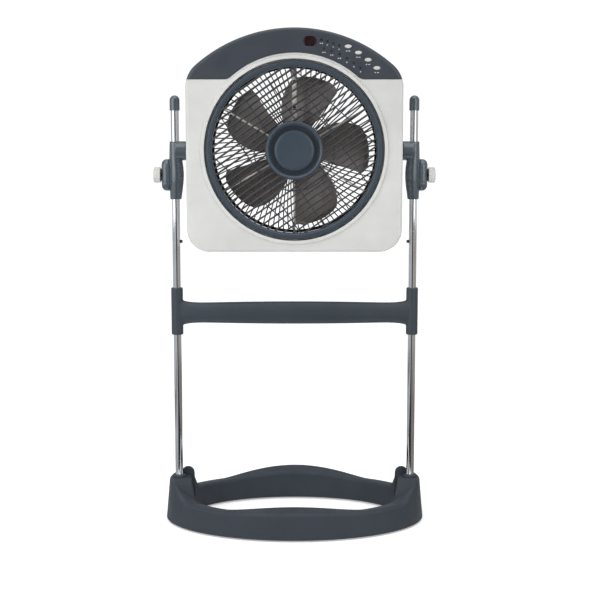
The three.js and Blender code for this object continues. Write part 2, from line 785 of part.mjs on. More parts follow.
function impeller() {
  const { r, front, back } = HUB;
  const hub = [
    [SHAFT.r + 0.05 + GAP, front],
    [r - 4, front],
    [r, front + 4],
    [r, back],
    [SHAFT.r + 0.05 + GAP, back],
    [SHAFT.r + 0.05 + GAP, front],
  ];
  let body = solid(turned(hub, "y", 24));
  for (let i = 0; i < BLADE.count; i++) {
    const angle = BLADE.firstAngle + (i * 360) / BLADE.count;
    body = body.add(blade().rotate([0, -angle, 0]));
  }
  return body;
}

const motorShaft = () => bar(SHAFT.r, SHAFT.front, SHAFT.back, "y", 16);

// The nut that holds the impeller on its shaft: blind in front, so it caps the shaft's end.
function spinnerNut() {
  const profile = [
    [0, NUT.front],
    [NUT.r - 4, NUT.front],
    [NUT.r, NUT.front + 4],
    [NUT.r, NUT.back],
    [SHAFT.r + GAP, NUT.back],
    [SHAFT.r + GAP, SHAFT.front - GAP],
    [0, SHAFT.front - GAP],
  ];
  return solid(turned(profile, "y", 16));
}

// ---- louvre grille -----------------------------------------------------------------------

// The turning grille: one family of parallel slats in a ring, stiffened by cross braces.
function louvreGrille() {
  const { outR, inR, front, back, slatFront, slatBack } = GRILLE;
  let web = bar(GRILLE_CAP.r - 8, slatFront + 3, slatBack, "y", 24);
  const slats = Math.floor(inR / SLAT.pitch);
  const middle = (slatFront + slatBack) / 2;
  const deep = slatBack - slatFront;
  for (let i = -slats; i <= slats; i++) {
    const across = i * SLAT.pitch;
    const half = Math.sqrt((inR + 4) * (inR + 4) - across * across);
    web = web.add(block(2 * half, deep, SLAT.thick, 0, middle, across));
  }
  for (const along of SLAT.braces) {
    const half = Math.sqrt((inR + 4) * (inR + 4) - along * along);
    web = web.add(block(2, 3, 2 * half, along, slatBack - 2, 0));
  }
  const bore = bar(3 + GAP, slatFront - 5, slatBack + 5, "y", 12);
  const rim = ring(inR, outR, front, back, "y", ROUND);
  return join(web.rotate([0, -SLAT.tilt, 0]), rim).subtract(bore);
}

// The cap on the grille's middle: a raised lip, a groove, and a low disc.
function grilleCap() {
  const { r, discR, front, back } = GRILLE_CAP;
  const profile = [
    [0, front + 3],
    [discR - 5, front + 4],
    [discR, front + 7],
    [discR + 1, front + 12],
    [r - 12, front + 12],
    [r - 7, front + 3],
    [r - 3, front],
    [r, front + 4],
    [r, GRILLE.slatFront - GAP],
    [0, GRILLE.slatFront - GAP],
  ];
  return solid(turned(profile, "y", 24));
}

const grilleShaft = () => bar(3, GRILLE.slatFront + 0.5, GRILLE_MOTOR.front + 8, "y", 12);

function grilleMotor() {
  const { r, front, back } = GRILLE_MOTOR;
  const profile = [
    [3 + GAP, front],
    [r - 2, front],
    [r, front + 2],
    [r, back - 1],
    [r - 1, back],
    [0, back],
    [0, front + 8 + GAP],
    [3 + GAP, front + 8 + GAP],
    [3 + GAP, front],
  ];
  return solid(turned(profile, "y", 24));
}

// ---- materials and the assembly ----------------------------------------------------------

const finish = (color, roughness, metalness) => ({ color, roughness, metalness });
const SLATE = finish(0x40464e, 0.5, 0);
const PANEL_GREY = finish(0x484c54, 0.45, 0);
const BLUE_GREY = finish(0x4c5d6c, 0.45, 0);
const WARM_WHITE = finish(0xcbcbc8, 0.45, 0);
const IVORY = finish(0xcdcbc6, 0.4, 0);
const CHROME = finish(0xd0d2d6, 0.12, 1);
const STEEL = finish(0x9a9da2, 0.35, 1);
const SMOKE = finish(0x4b4644, 0.35, 0);
const RUBBER = finish(0x222326, 0.9, 0);
const MAROON = finish(0x2a1416, 0.12, 0);
const LAMP = finish(0x0d0e11, 0.3, 0);
const BOARD_GREEN = finish(0x1f4a33, 0.6, 0);

const stand = new THREE.Group();
const head = new THREE.Group();
head.position.z = PIVOT_Z;
const fan = new THREE.Group();
fan.add(stand, head);

function place(parent, name, made, look, x = 0, y = 0, z = 0) {
  const mesh = new THREE.Mesh(geometryOf(made), new THREE.MeshStandardMaterial(look));
  mesh.name = name;
  mesh.position.set(x, y, z);
  parent.add(mesh);
}

place(stand, "base_ring", baseRing(), SLATE);
padPlaces().forEach(({ x, y }, i) => {
  place(stand, `foot_pad_${i + 1}`, footPad(), RUBBER, x, y, 0);
});
place(stand, "crossbar", crossbar(), SLATE);

for (const [word, side] of [
  ["left", -1],
  ["right", 1],
]) {
  const x = side * TUBE_X;
  const knobX = side * (TUBE_X + KNOB.inner);
  place(stand, `lower_tube_${word}`, tube(TUBE_FOOT_Z, TUBE_JOIN_Z), CHROME, x);
  place(stand, `upper_tube_${word}`, toSide(upperTube(), side), CHROME, x);
  place(stand, `tube_cap_${word}`, tubeCap(), SLATE, x);
  place(stand, `stop_pin_${word}`, toSide(stopPin(), side), RUBBER, x, 0, STOP.z);
  place(stand, `bracket_${word}`, toSide(bracket(), side), SLATE, x);
  place(stand, `bracket_collar_${word}`, bracketCollar(), SLATE, x);
  place(stand, `clamp_screw_${word}`, toSide(clampScrew(), side), STEEL, x, 0, BOSS.z);
  place(stand, `clamp_knob_${word}`, toSide(clampKnob(), side), IVORY, knobX, 0, BOSS.z);
  place(head, `pivot_pin_${word}`, toSide(pivotPin(), side), STEEL);
  place(head, `pivot_washer_${word}`, toSide(pivotWasher(), side), RUBBER);
}

place(head, "front_housing", frontHousing(), WARM_WHITE);
place(head, "rear_housing", rearHousing(), WARM_WHITE);
screwPlaces().forEach(({ x, z }, i) => {
  place(head, `housing_screw_${i + 1}`, housingScrew(), STEEL, x, 0, z);
});
place(head, "cord_gland", cordGland(), RUBBER, CORD.x, 0, CORD.z);
place(head, "control_panel", controlPanel(), PANEL_GREY);
const eye = panelPoint(IR.r, IR.angle);
place(head, "ir_window", irWindow(), MAROON, eye.x, 0, eye.z);
place(head, "led_lenses", ledLenses(), LAMP);
place(head, "control_board", controlBoard(), BOARD_GREEN);
for (let i = 0; i < BUTTONS.count; i++) {
  const { x, z } = buttonPlace(i);
  place(head, `button_${i + 1}`, button(), IVORY, x, 0, z);
}
place(head, "rear_guard", rearGuard(), SLATE);
place(head, "motor_plate", mountPlate(), STEEL);
place(head, "motor_body", motorBody(), STEEL);
place(head, "capacitor", capacitor(), SLATE);
place(head, "motor_shaft", motorShaft(), STEEL);
place(head, "impeller", impeller(), SMOKE);
place(head, "spinner_nut", spinnerNut(), SMOKE);
place(head, "front_spider", frontSpider(), WARM_WHITE);
place(head, "grille_motor", grilleMotor(), STEEL);
place(head, "grille_shaft", grilleShaft(), STEEL);
place(head, "louvre_grille", louvreGrille(), BLUE_GREY);
place(head, "grille_cap", grilleCap(), BLUE_GREY);

export default fan;
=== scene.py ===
import json
import math

import bmesh
import bpy
import numpy as np
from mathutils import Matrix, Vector


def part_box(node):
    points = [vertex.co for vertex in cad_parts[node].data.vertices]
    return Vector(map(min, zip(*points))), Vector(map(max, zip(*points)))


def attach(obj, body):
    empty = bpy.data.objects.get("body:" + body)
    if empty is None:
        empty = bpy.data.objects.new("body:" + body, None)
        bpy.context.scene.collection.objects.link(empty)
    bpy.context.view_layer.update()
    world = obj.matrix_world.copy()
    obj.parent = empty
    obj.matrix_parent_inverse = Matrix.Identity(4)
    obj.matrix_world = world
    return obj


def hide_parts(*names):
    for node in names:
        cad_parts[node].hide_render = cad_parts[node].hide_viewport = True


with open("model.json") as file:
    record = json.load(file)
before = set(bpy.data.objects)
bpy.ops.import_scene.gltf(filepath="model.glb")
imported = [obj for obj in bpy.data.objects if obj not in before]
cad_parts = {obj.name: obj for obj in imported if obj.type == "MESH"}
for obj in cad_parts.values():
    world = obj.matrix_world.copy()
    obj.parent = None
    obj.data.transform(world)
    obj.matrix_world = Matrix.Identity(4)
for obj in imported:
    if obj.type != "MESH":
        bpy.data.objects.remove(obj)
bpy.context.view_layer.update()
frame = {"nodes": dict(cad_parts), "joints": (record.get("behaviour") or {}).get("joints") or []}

MM = 0.001
SCENE = bpy.context.scene


# ---- places read from the frame ----

def low(node):
    return np.array(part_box(node)[0]) / MM


def high(node):
    return np.array(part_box(node)[1]) / MM


def middle(node):
    return (low(node) + high(node)) / 2


JOINTS = {joint["name"]: joint for joint in frame["joints"]}
AXIS_Z = JOINTS["head_tilt"]["pos_m"][2] / MM
TUBE_X = middle("lower_tube_right")[0]
TUBE_R = 8.0
BORE_R = TUBE_R + 0.3
BOSS_Z = JOINTS["right_knob_turn"]["pos_m"][2] / MM
HEAD_HALF = high("rear_housing")[0]
HEAD_TOP = high("rear_housing")[2] - AXIS_Z
HEAD_BOTTOM = low("rear_housing")[2] - AXIS_Z
HEAD_BACK = 60.0
HEAD_FRONT = -60.0
PANEL_FRONT = low("control_panel")[1]
SPLIT = 0.15


# ---- outlines ----

def columns(*parts):
    """Points from their coordinates, each one number or a value for every point."""
    return np.stack(np.broadcast_arrays(*parts), axis=-1)


def arc(x, y, r, start, end, steps):
    """Points on an arc, by its centre, radius and two angles in degrees."""
    turn = np.radians(np.linspace(start, end, steps + 1))
    return columns(x + r * np.cos(turn), y + r * np.sin(turn))


def rounded(points, radius, steps=4, closed=True):
    """The same outline with an arc in place of each corner."""
    points = [np.array(point, float) for point in points]
    count = len(points)
    radii = list(radius) if isinstance(radius, (list, tuple)) else [radius] * count
    out = []
    for i, here in enumerate(points):
        is_end = not closed and i in (0, count - 1)
        if is_end or radii[i] == 0:
            out.append(here)
            continue
        before = points[i - 1] - here
        after = points[(i + 1) % count] - here
        before_length = np.linalg.norm(before)
        after_length = np.linalg.norm(after)
        before = before / before_length
        after = after / after_length
        half = math.acos(float(np.clip(before @ after, -1, 1))) / 2
        if half > math.pi / 2 - 0.01:
            out.append(here)
            continue
        reach = min(radii[i] / math.tan(half), 0.49 * before_length, 0.49 * after_length)
        bisector = (before + after) / np.linalg.norm(before + after)
        centre = here + bisector * reach / math.cos(half)
        first = here + before * reach - centre
        last = here + after * reach - centre
        sweep = math.pi - 2 * half
        for k in range(steps + 1):
            share = k / steps
            left = math.sin((1 - share) * sweep) / math.sin(sweep)
            right = math.sin(share * sweep) / math.sin(sweep)
            out.append(centre + left * first + right * last)
    return np.array(out)


def rectangle(x0, x1, y0, y1):
    return [(x0, y0), (x1, y0), (x1, y1), (x0, y1)]


def full_turn(count):
    return np.linspace(0, 2 * np.pi, count, endpoint=False)


def oval(half_x, half_z, count=48):
    turn = full_turn(count)
    return columns(half_x * np.cos(turn), half_z * np.sin(turn))


def round_box(half_x, half_z, corner, steps=6):
    return rounded(rectangle(-half_x, half_x, -half_z, half_z), corner, steps)


def drawn_in(outline, distance):
    """An outline, listed anticlockwise, moved inwards by a distance."""
    along = np.roll(outline, -1, axis=0) - np.roll(outline, 1, axis=0)
    along = along / np.linalg.norm(along, axis=1)[:, None]
    inwards = columns(-along[:, 1], along[:, 0])
    return outline + inwards * distance


# ---- closed shells: a pair of points in millimetres and faces ----

def wrap(rings, closed=True, caps=False):
    """Faces over a stack of rings, each closed on itself. The stack closes too, or has caps."""
    stack, around = rings.shape[:2]
    faces = []
    for p in range(stack if closed else stack - 1):
        here = p * around
        above = ((p + 1) % stack) * around
        for n in range(around):
            m = (n + 1) % around
            faces.append((here + n, above + n, above + m, here + m))
    if caps:
        faces.append(tuple(range(around)))
        faces.append(tuple(range((stack - 1) * around, stack * around)))
    return rings.reshape(-1, 3), faces


def solid(rings):
    """A shell over a stack of rings, with a flat cap at each end."""
    return wrap(np.asarray(rings, float), closed=False, caps=True)


def lathe(profile, axis, sides=96):
    """A profile of (radius, height) turned about an axis. It closes, unless it ends on the axis."""
    profile = np.asarray(profile, float)
    turn = full_turn(sides)
    first = profile[:, :1] * np.cos(turn)
    second = profile[:, :1] * np.sin(turn)
    height = np.repeat(profile[:, 1:], sides, axis=1)
    order = {
        "x": (height, first, second),
        "y": (first, height, second),
        "z": (first, second, height),
    }[axis]
    on_axis = profile[0, 0] == 0 and profile[-1, 0] == 0
    return wrap(columns(*order), closed=not on_axis)


def turned(corners, radii, steps, axis, sides):
    """A solid of revolution from the corners of its section, each with its own rounding."""
    on_axis = corners[0][0] == 0 and corners[-1][0] == 0
    return lathe(rounded(corners, radii, steps, closed=not on_axis), axis, sides)


def plate(outline, front, back, edge=0.6, back_edge=0.0, crown=0.0, steps=4):
    """An outline in X and Z given thickness along Y, with a rolled front edge and a crowned face."""
    levels = []
    middle_point = outline.mean(axis=0)
    inner = drawn_in(outline, edge)
    if crown:
        for share in (0.12, 0.35, 0.6, 0.82):
            levels.append((middle_point + (inner - middle_point) * share, crown * share * share))
    for k in range(steps + 1):
        turn = k / steps * math.pi / 2
        drop = edge * (1 - math.cos(turn))
        levels.append((drawn_in(outline, edge * (1 - math.sin(turn))), crown + drop))
    rings = [[(x, front + depth, z) for x, z in points] for points, depth in levels]
    if back_edge:
        rings.append([(x, back - back_edge, z) for x, z in outline])
    rings.append([(x, back, z) for x, z in drawn_in(outline, back_edge)])
    return solid(rings)


def rod(start, end, section, side, up):
    """A straight bar: a section of (side, up) offsets carried from start to end."""
    start, end, side, up = (np.array(v, float) for v in (start, end, side, up))
    rings = [[point + s * side + u * up for s, u in section] for point in (start, end)]
    return solid(rings)


def together(*shells):
    points = []
    faces = []
    count = 0
    for shell_points, shell_faces in shells:
        points.append(np.asarray(shell_points, float))
        faces.extend(tuple(i + count for i in face) for face in shell_faces)
        count += len(shell_points)
    return np.concatenate(points), faces


def shifted(shell, x=0.0, y=0.0, z=0.0):
    return np.asarray(shell[0], float) + np.array([x, y, z]), shell[1]


def placed(shell, node):
    """A shell made round the origin, moved sideways and up to a node's middle."""
    x, _, z = middle(node)
    return shifted(shell, x, 0, z)


def mirrored(shell, side):
    """The same shell for the other side of the fan."""
    return np.asarray(shell[0], float) * np.array([side, 1, 1]), shell[1]


# ---- Blender objects ----

def weld(mesh, distance=1e-7):
    """Joins points that coincide and turns every face outwards."""
    welded = bmesh.new()
    welded.from_mesh(mesh)
    bmesh.ops.remove_doubles(welded, verts=welded.verts, dist=distance)
    bmesh.ops.dissolve_degenerate(welded, edges=welded.edges, dist=distance)
    bmesh.ops.recalc_face_normals(welded, faces=welded.faces)
    welded.to_mesh(mesh)
    welded.free()


def mesh_object(name, shell):
    points, faces = shell
    mesh = bpy.data.meshes.new(name)
    mesh.from_pydata((np.asarray(points) * MM).tolist(), [], faces)
    weld(mesh)
    obj = bpy.data.objects.new(name, mesh)
    SCENE.collection.objects.link(obj)
    return obj


def bake(obj):
    """Applies an object's modifiers to its mesh."""
    graph = bpy.context.evaluated_depsgraph_get()
    made = bpy.data.meshes.new_from_object(obj.evaluated_get(graph))
    old = obj.data
    obj.modifiers.clear()
    obj.data = made
    bpy.data.meshes.remove(old)


def combine(obj, operation, *shells):
    """Adds, cuts or keeps what is common with each shell."""
    for shell in shells:
        tool = mesh_object("tool", shell)
        modifier = obj.modifiers.new("combine", "BOOLEAN")
        modifier.operation = operation
        modifier.solver = "MANIFOLD"
        modifier.object = tool
        bake(obj)
        weld(obj.data, 1e-6)
        bpy.data.meshes.remove(tool.data)


def softened(obj, voxel, passes):
    """Runs overlapping shells into one skin and eases the corners between them."""
    remesh = obj.modifiers.new("skin", "REMESH")
    remesh.mode = "VOXEL"
    remesh.voxel_size = voxel * MM
    ease = obj.modifiers.new("ease", "SMOOTH")
    ease.factor = 0.5
    ease.iterations = passes
    bake(obj)


def finished(obj, material, body, nodes=(), sharp=35):
    """Shading, material and place in the assembly."""
    mesh = obj.data
    mesh.materials.clear()
    mesh.materials.append(material)
    mesh.polygons.foreach_set("use_smooth", [True] * len(mesh.polygons))
    mesh.polygons.foreach_set("material_index", [0] * len(mesh.polygons))
    mesh.set_sharp_from_angle(angle=math.radians(sharp))
    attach(obj, body)
    if nodes:
        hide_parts(*nodes)


def piece(name, shell, material, body, nodes=()):
    finished(mesh_object(name, shell), material, body, nodes)


# ---- materials ----

def srgb(red, green, blue):
    """A colour as it is seen on screen, in the shader's linear values."""
    out = []
    for value in (red, green, blue):
        share = value / 255
        out.append(share / 12.92 if share <= 0.04045 else ((share + 0.055) / 1.055) ** 2.4)
    return (*out, 1.0)


def scaled(colour, share):
    return tuple(min(1.0, value * share) for value in colour[:3]) + (1.0,)


def put(tree, socket, value):
    """Links a source to a socket, or sets a plain number or colour on it."""
    if hasattr(value, "is_output"):
        tree.links.new(value, socket)
    else:
        socket.default_value = value


def add_node(tree, kind, **values):
    """A shader node of one kind, with its inputs by name."""
    node = tree.nodes.new("ShaderNode" + kind)
    for name, value in values.items():
        put(tree, node.inputs[name.replace("_", " ")], value)
    return node


class Shader:
    """A material under construction, with object coordinates in metres."""

    def __init__(self, name):
        self.material = bpy.data.materials.new(name)
        self.material.use_nodes = True
        self.tree = self.material.node_tree
        self.place = self.add("TexCoord").outputs["Object"]

    def add(self, kind, **values):
        return add_node(self.tree, kind, **values)

    def dressed(self, **values):
        """The finished material, with its surface's inputs by name."""
        surface = self.tree.nodes["Principled BSDF"]
        for name, value in values.items():
            put(self.tree, surface.inputs[name.replace("_", " ")], value)
        return self.material

    def stretched(self, x, y, z):
        return self.add("Mapping", Scale=(x, y, z), Vector=self.place).outputs["Vector"]

    def noise(self, scale, detail=4.0, roughness=0.55, place=None):
        place = place or self.place
        node = self.add("TexNoise", Scale=scale, Detail=detail, Roughness=roughness, Vector=place)
        return node.outputs["Fac"]

    def cells(self, scale):
        return self.add("TexVoronoi", Scale=scale, Vector=self.place).outputs["Distance"]

    def ramp(self, source, *stops):
        node = self.add("ValToRGB", Fac=source)
        for element, (position, colour) in zip(node.color_ramp.elements, stops):
            element.position = position
            element.color = colour
        return node.outputs["Color"]

    def spread(self, source, low_value, high_value):
        """The middle of a source's values, spread between two others."""
        ends = {"From_Min": 0.3, "From_Max": 0.7, "To_Min": low_value, "To_Max": high_value}
        return self.add("MapRange", Value=source, **ends).outputs["Result"]

    def blend(self, factor, first, second, mode="MIX"):
        node = self.add("Mix")
        node.data_type = "RGBA"
        node.blend_type = mode
        for place, value in ((0, factor), (6, first), (7, second)):
            put(self.tree, node.inputs[place], value)
        return node.outputs[2]

    def bump(self, height, strength, distance, under=None):
        node = self.add("Bump", Strength=strength, Distance=distance, Height=height)
        if under is not None:
            put(self.tree, node.inputs["Normal"], under)
        return node.outputs["Normal"]


BLACK = (0, 0, 0, 1)
WHITE = (1, 1, 1, 1)
OFF_WHITE = (0.93, 0.93, 0.93, 1)


def moulded(name, colour, roughness, grain=2600.0, grain_depth=0.00003, wear=1.25, gloss=0.5):
    """Moulded plastic: a spark-eroded grain, faint flow clouding, handling marks, rubbed edges."""
    shader = Shader(name)
    flow = shader.noise(3.0, 3.0, place=shader.stretched(1.0, 1.0, 6.0))
    base = shader.ramp(shader.noise(9.0, 5.0), (0.3, scaled(colour, 0.93)), (0.7, scaled(colour, 1.06)))
    base = shader.blend(0.6, base, shader.ramp(flow, (0.35, OFF_WHITE), (0.65, WHITE)), "MULTIPLY")
    dust = shader.ramp(shader.noise(420.0, 6.0), (0.62, BLACK), (0.78, WHITE))
    base = shader.blend(dust, base, scaled(colour, 1.12))
    outer_edges = shader.add("NewGeometry").outputs["Pointiness"]
    base = shader.blend(shader.ramp(outer_edges, (0.52, BLACK), (0.6, WHITE)), base, scaled(colour, wear))
    smear = shader.spread(shader.noise(26.0, 6.0, 0.6), roughness * 0.82, roughness * 1.18)
    sink = shader.bump(shader.noise(34.0, 2.0), 0.12, 0.0006)
    grained = shader.bump(shader.cells(grain), 0.35, grain_depth, sink)
    fine = shader.bump(shader.noise(grain * 1.7, 2.0), 0.3, grain_depth, grained)
    return shader.dressed(Base_Color=base, Roughness=smear, Specular_IOR_Level=gloss, Normal=fine)


def plated(name, colour, roughness, along="z", scratch=0.10):
    """Polished or brushed metal with drawing lines along the piece and a few handling scratches."""
    shader = Shader(name)
    line_scale = {"z": (1, 1, 0.02), "y": (1, 0.02, 1)}[along]
    lines = shader.noise(900.0, 3.0, place=shader.stretched(*line_scale))
    base = shader.ramp(shader.noise(14.0, 4.0), (0.3, scaled(colour, 0.86)), (0.7, scaled(colour, 1.05)))
    pits = shader.ramp(shader.noise(700.0, 5.0), (0.7, WHITE), (0.78, (0.55, 0.5, 0.45, 1)))
    base = shader.blend(0.8, base, pits, "MULTIPLY")
    drawn = shader.bump(lines, scratch, 0.00002)
    dents = shader.bump(shader.noise(40.0, 2.0), 0.05, 0.0003, drawn)
    polish = shader.spread(lines, roughness * 0.6, roughness * 1.6)
    return shader.dressed(Base_Color=base, Metallic=1.0, Roughness=polish, Normal=dents)


def rubber(name, colour):
    shader = Shader(name)
    base = shader.ramp(shader.noise(60.0, 5.0), (0.35, scaled(colour, 0.8)), (0.7, scaled(colour, 1.6)))
    bloom = shader.spread(shader.noise(200.0), 0.7, 0.92)
    pebble = shader.bump(shader.cells(1500.0), 0.5, 0.00006)
    return shader.dressed(Base_Color=base, Roughness=bloom, Normal=pebble)


def glossy(name, colour, deep, roughness, coat):
    """A polished lens: clouded between a deep and a lighter colour, with fine wipe marks."""
    shader = Shader(name)
    base = shader.ramp(shader.noise(90.0, 3.0), (0.3, deep), (0.7, colour))
    wiped = shader.noise(500.0, 3.0, place=shader.stretched(1, 1, 0.15))
    polish = shader.spread(wiped, roughness * 0.5, roughness * 2.0)
    marks = shader.bump(wiped, 0.04, 0.00002)
    return shader.dressed(
        Base_Color=base, Roughness=polish, Coat_Weight=coat, Coat_Roughness=0.05, Normal=marks
    )


BASE_MAT = moulded("base_plastic", srgb(51, 58, 66), 0.6, gloss=0.3)
BAR_MAT = moulded("bar_plastic", srgb(52, 61, 69), 0.45)
CAP_MAT = moulded("cap_plastic", srgb(64, 77, 86), 0.26, gloss=1.0)
PANEL_MAT = moulded("panel_plastic", srgb(54, 60, 69), 0.4)
RING_MAT = moulded("grille_plastic", srgb(56, 67, 78), 0.32)
# The grille rim's own moulded plastic in a greyer tone, as painted shade on the slats, hub and braces
PAINTED_SHADE_SLAT_MAT = moulded("slat_plastic_with_painted_shade", srgb(62, 66, 72), 0.4)
# Painted shade: a darker copy of the cap plastic for the recess of the cap's groove
PAINTED_GROOVE_SHADE = moulded("painted_groove_shade", srgb(34, 40, 47), 0.5)
CASE_MAT = moulded("case_plastic", srgb(205, 206, 204), 0.4, wear=1.04)
SPIDER_MAT = moulded("spider_plastic", srgb(224, 220, 210), 0.45, wear=1.05)
KNOB_MAT = moulded("knob_plastic", srgb(203, 201, 197), 0.38, wear=1.04)
BLADE_MAT = moulded("blade_plastic", srgb(116, 106, 100), 0.3, grain=4000.0, grain_depth=0.000012, gloss=0.9)
GUARD_MAT = moulded("guard_plastic", srgb(40, 33, 30), 0.45)
MOTOR_MAT = moulded("motor_paint", srgb(70, 70, 74), 0.4)
BOARD_MAT = moulded("circuit_board", srgb(32, 76, 52), 0.5)
MARK_MAT = moulded("panel_print", srgb(186, 190, 198), 0.6, grain_depth=0.000005)
LED_MAT = glossy("lens_plastic", srgb(12, 13, 16), srgb(5, 6, 8), 0.35, 0.1)
WINDOW_MAT = glossy("window_plastic", srgb(44, 18, 24), srgb(24, 8, 12), 0.2, 0.2)
CHROME = plated("tube_chrome", srgb(226, 228, 232), 0.07)
STEEL = plated("zinc_steel", srgb(176, 178, 182), 0.3, along="y", scratch=0.25)
SCREW_MAT = plated("dark_screw", srgb(92, 90, 88), 0.35, along="y", scratch=0.3)
RUBBER = rubber("foot_rubber", srgb(34, 35, 38))

SIDES = (("left", -1), ("right", 1))


# ---- stand ----

HOOP = {"outX": 257, "outY": 161, "inX": 214, "inY": 129, "flare": 8, "wall": 4, "lift": 3}
HOOP_END_Z = 86
HOOP_FRONT = {"outer": 52, "inner": 47, "outerHump": 4, "innerHump": 14}
HOOP_BACK = {"outer": 47, "inner": 50, "outerHump": 22, "innerHump": 9}
HUMP_SHARE = 0.62
CLIMB_FROM = {"outer": 0.84, "inner": 0.93}
CLIMB_TO = 0.99
SOCKET_Z = 90
EAR = {"half": 13, "thick": 7, "low": 40, "top": 103, "in": 17, "y": 12}
BAR_MID_Z = 428.0


def smoothstep(value, start, end):
    share = min(1.0, max(0.0, (value - start) / (end - start)))
    return share * share * (3 - 2 * share)


def hoop_top(angle, edge):
    side = HOOP_FRONT if math.sin(angle) < 0 else HOOP_BACK
    along = abs(math.cos(angle))
    near = max(0.0, 1 - (along / HUMP_SHARE) ** 2)
    top = side[edge] + side[edge + "Hump"] * near ** 1.4
    return top + (HOOP_END_Z - top) * smoothstep(along, CLIMB_FROM[edge], CLIMB_TO)


def hoop():
    """The oval hoop: a channel open underneath, higher at its two ends."""
    sections = []
    steps = 288
    wall = HOOP["wall"]
    for i in range(steps):
        angle = i * 2 * math.pi / steps
        inner_point = np.array([HOOP["inX"] * math.cos(angle), HOOP["inY"] * math.sin(angle)])
        outer_point = np.array([HOOP["outX"] * math.cos(angle), HOOP["outY"] * math.sin(angle)])
        across = outer_point - inner_point
        width = np.linalg.norm(across)
        across = across / width
        outer = hoop_top(angle, "outer")
        inner = hoop_top(angle, "inner")
        sharp = smoothstep(outer, 70, 84)
        edge = 5 - 2.5 * sharp
        corners = [
            (width + HOOP["flare"], HOOP["lift"]),
            (width + 1, outer - edge - 1),
            (width - edge, outer),
            (4, inner),
            (0, inner - 4),
            (0, HOOP["lift"]),
            (wall, HOOP["lift"]),
            (wall, inner - wall - 5),
            (width - 6, outer - wall - 6),
            (width + HOOP["flare"] - wall, HOOP["lift"]),
        ]
        soft = 5 - 3.5 * sharp
        profile = rounded(corners, [1.2, soft, soft, 4, 4, 1.2, 0.8, 2, 2, 0.8], 4)
        sections.append([(*(inner_point + across * u), z) for u, z in profile])
    return wrap(np.array(sections))


def ear_outline():
    half = EAR["half"]
    top = arc(0, EAR["top"] - half, half, 0, 180, 20)
    return np.concatenate([[(-half - 3, EAR["low"]), (half + 3, EAR["low"])], top])


def build_base():
    base = mesh_object("base_shell", hoop())
    foot = HOOP["lift"] + 1
    socket = turned([(0, foot), (17, foot), (14.2, SOCKET_Z), (0, SOCKET_Z)], [0, 0.6, 2.2, 0], 4, "z", 48)
    hole = lathe(rectangle(0, BORE_R, 24, SOCKET_Z + 2), "z", 48)
    ear = plate(ear_outline(), EAR["y"], EAR["y"] + EAR["thick"], 1.6, back_edge=1.2)
    for _, side in SIDES:
        combine(base, "UNION", shifted(socket, side * TUBE_X))
        combine(base, "UNION", shifted(ear, side * (TUBE_X - EAR["in"])))
        combine(base, "DIFFERENCE", shifted(hole, side * TUBE_X))
    finished(base, BASE_MAT, "stand", ["base_ring"])


def build_crossbar():
    """The handle bar: a flattened bar that swells in the middle, with a sleeve at each end."""
    box_low = low("crossbar")[2]
    box_high = high("crossbar")[2]
    reach = TUBE_X - 3
    rings = []
    for along in np.linspace(-1, 1, 121):
        swell = 1 - along * along
        end = abs(along) ** 14
        half_z = 19 + 4 * swell + 10 * end
        half_y = 11 * (1 - 0.1 * end)
        turn = full_turn(64)
        y = half_y * np.sign(np.cos(turn)) * np.abs(np.cos(turn)) ** 0.9
        z = BAR_MID_Z + half_z * np.sign(np.sin(turn)) * np.abs(np.sin(turn)) ** 0.8
        rings.append(columns(along * reach, y, z))
    shells = [solid(rings)]
    sleeve = turned(rectangle(0, 12, box_low, box_high), [0, 1.6, 1.6, 0], 4, "z", 72)
    for _, side in SIDES:
        shells.append(shifted(sleeve, side * TUBE_X))
    bar = mesh_object("handle_bar", together(*shells))
    softened(bar, 1.15, 5)
    bore = lathe(rectangle(0, BORE_R, box_low - 2, box_high + 2), "z", 64)
    for _, side in SIDES:
        combine(bar, "DIFFERENCE", shifted(bore, side * TUBE_X))
    finished(bar, BAR_MAT, "stand", ["crossbar"], sharp=50)


def tube_profile(start, end):
    """The wall in section; the short step at each end keeps the long face's shading straight."""
    inner = TUBE_R - 1.2
    outside = [(TUBE_R, start), (TUBE_R, start + 1), (TUBE_R, end - 1), (TUBE_R, end)]
    return rounded([(inner, start), *outside, (inner, end)], [0.35, 0.35, 0, 0, 0.35, 0.35], 2)


def build_tubes():
    for word, side in SIDES:
        for level in ("lower", "upper"):
            node = f"{level}_tube_{word}"
            profile = tube_profile(low(node)[2], high(node)[2])
            tube = shifted(lathe(profile, "z", 96), side * TUBE_X)
            piece(f"chrome_{node}", tube, CHROME, "stand", [node])
        node = f"tube_cap_{word}"
        start = low(node)[2]
        end = high(node)[2]
        r = 10.0
        dome = arc(0, end - r, r, 0, 90, 14)
        dome[-1, 0] = 0
        inside = [(0, end - 6.5), (BORE_R, end - 6.5), (BORE_R, start + 0.4), (BORE_R + 0.4, start)]
        cap = lathe([*inside, (r - 0.7, start), (r, start + 0.7), *dome], "z", 72)
        piece(f"domed_cap_{word}", shifted(cap, side * TUBE_X), CAP_MAT, "stand", [node])
        node = f"stop_pin_{word}"
        pin = turned(rectangle(0, 3.2, -5.0, -12.5), [0, 0.2, 1.1, 0], 4, "x", 40)
        pin = mirrored(shifted(pin, TUBE_X, 0, middle(node)[2]), side)
        piece(f"stop_button_{word}", pin, RUBBER, "stand", [node])


def build_feet():
    r = 9.0
    for i in range(1, 5):
        node = f"foot_pad_{i}"
        x, y, _ = middle(node)
        tall = high(node)[2]
        section = [(0, 0.35), (4.6, 0.35), (5.2, 0), (r, 0), (r, tall), (0, tall)]
        pad = shifted(turned(section, [0, 0.3, 0.3, 0.9, 0.3, 0], 4, "z", 48), x, y)
        piece(f"rubber_{node}", pad, RUBBER, "stand", [node])


# ---- carriage ----

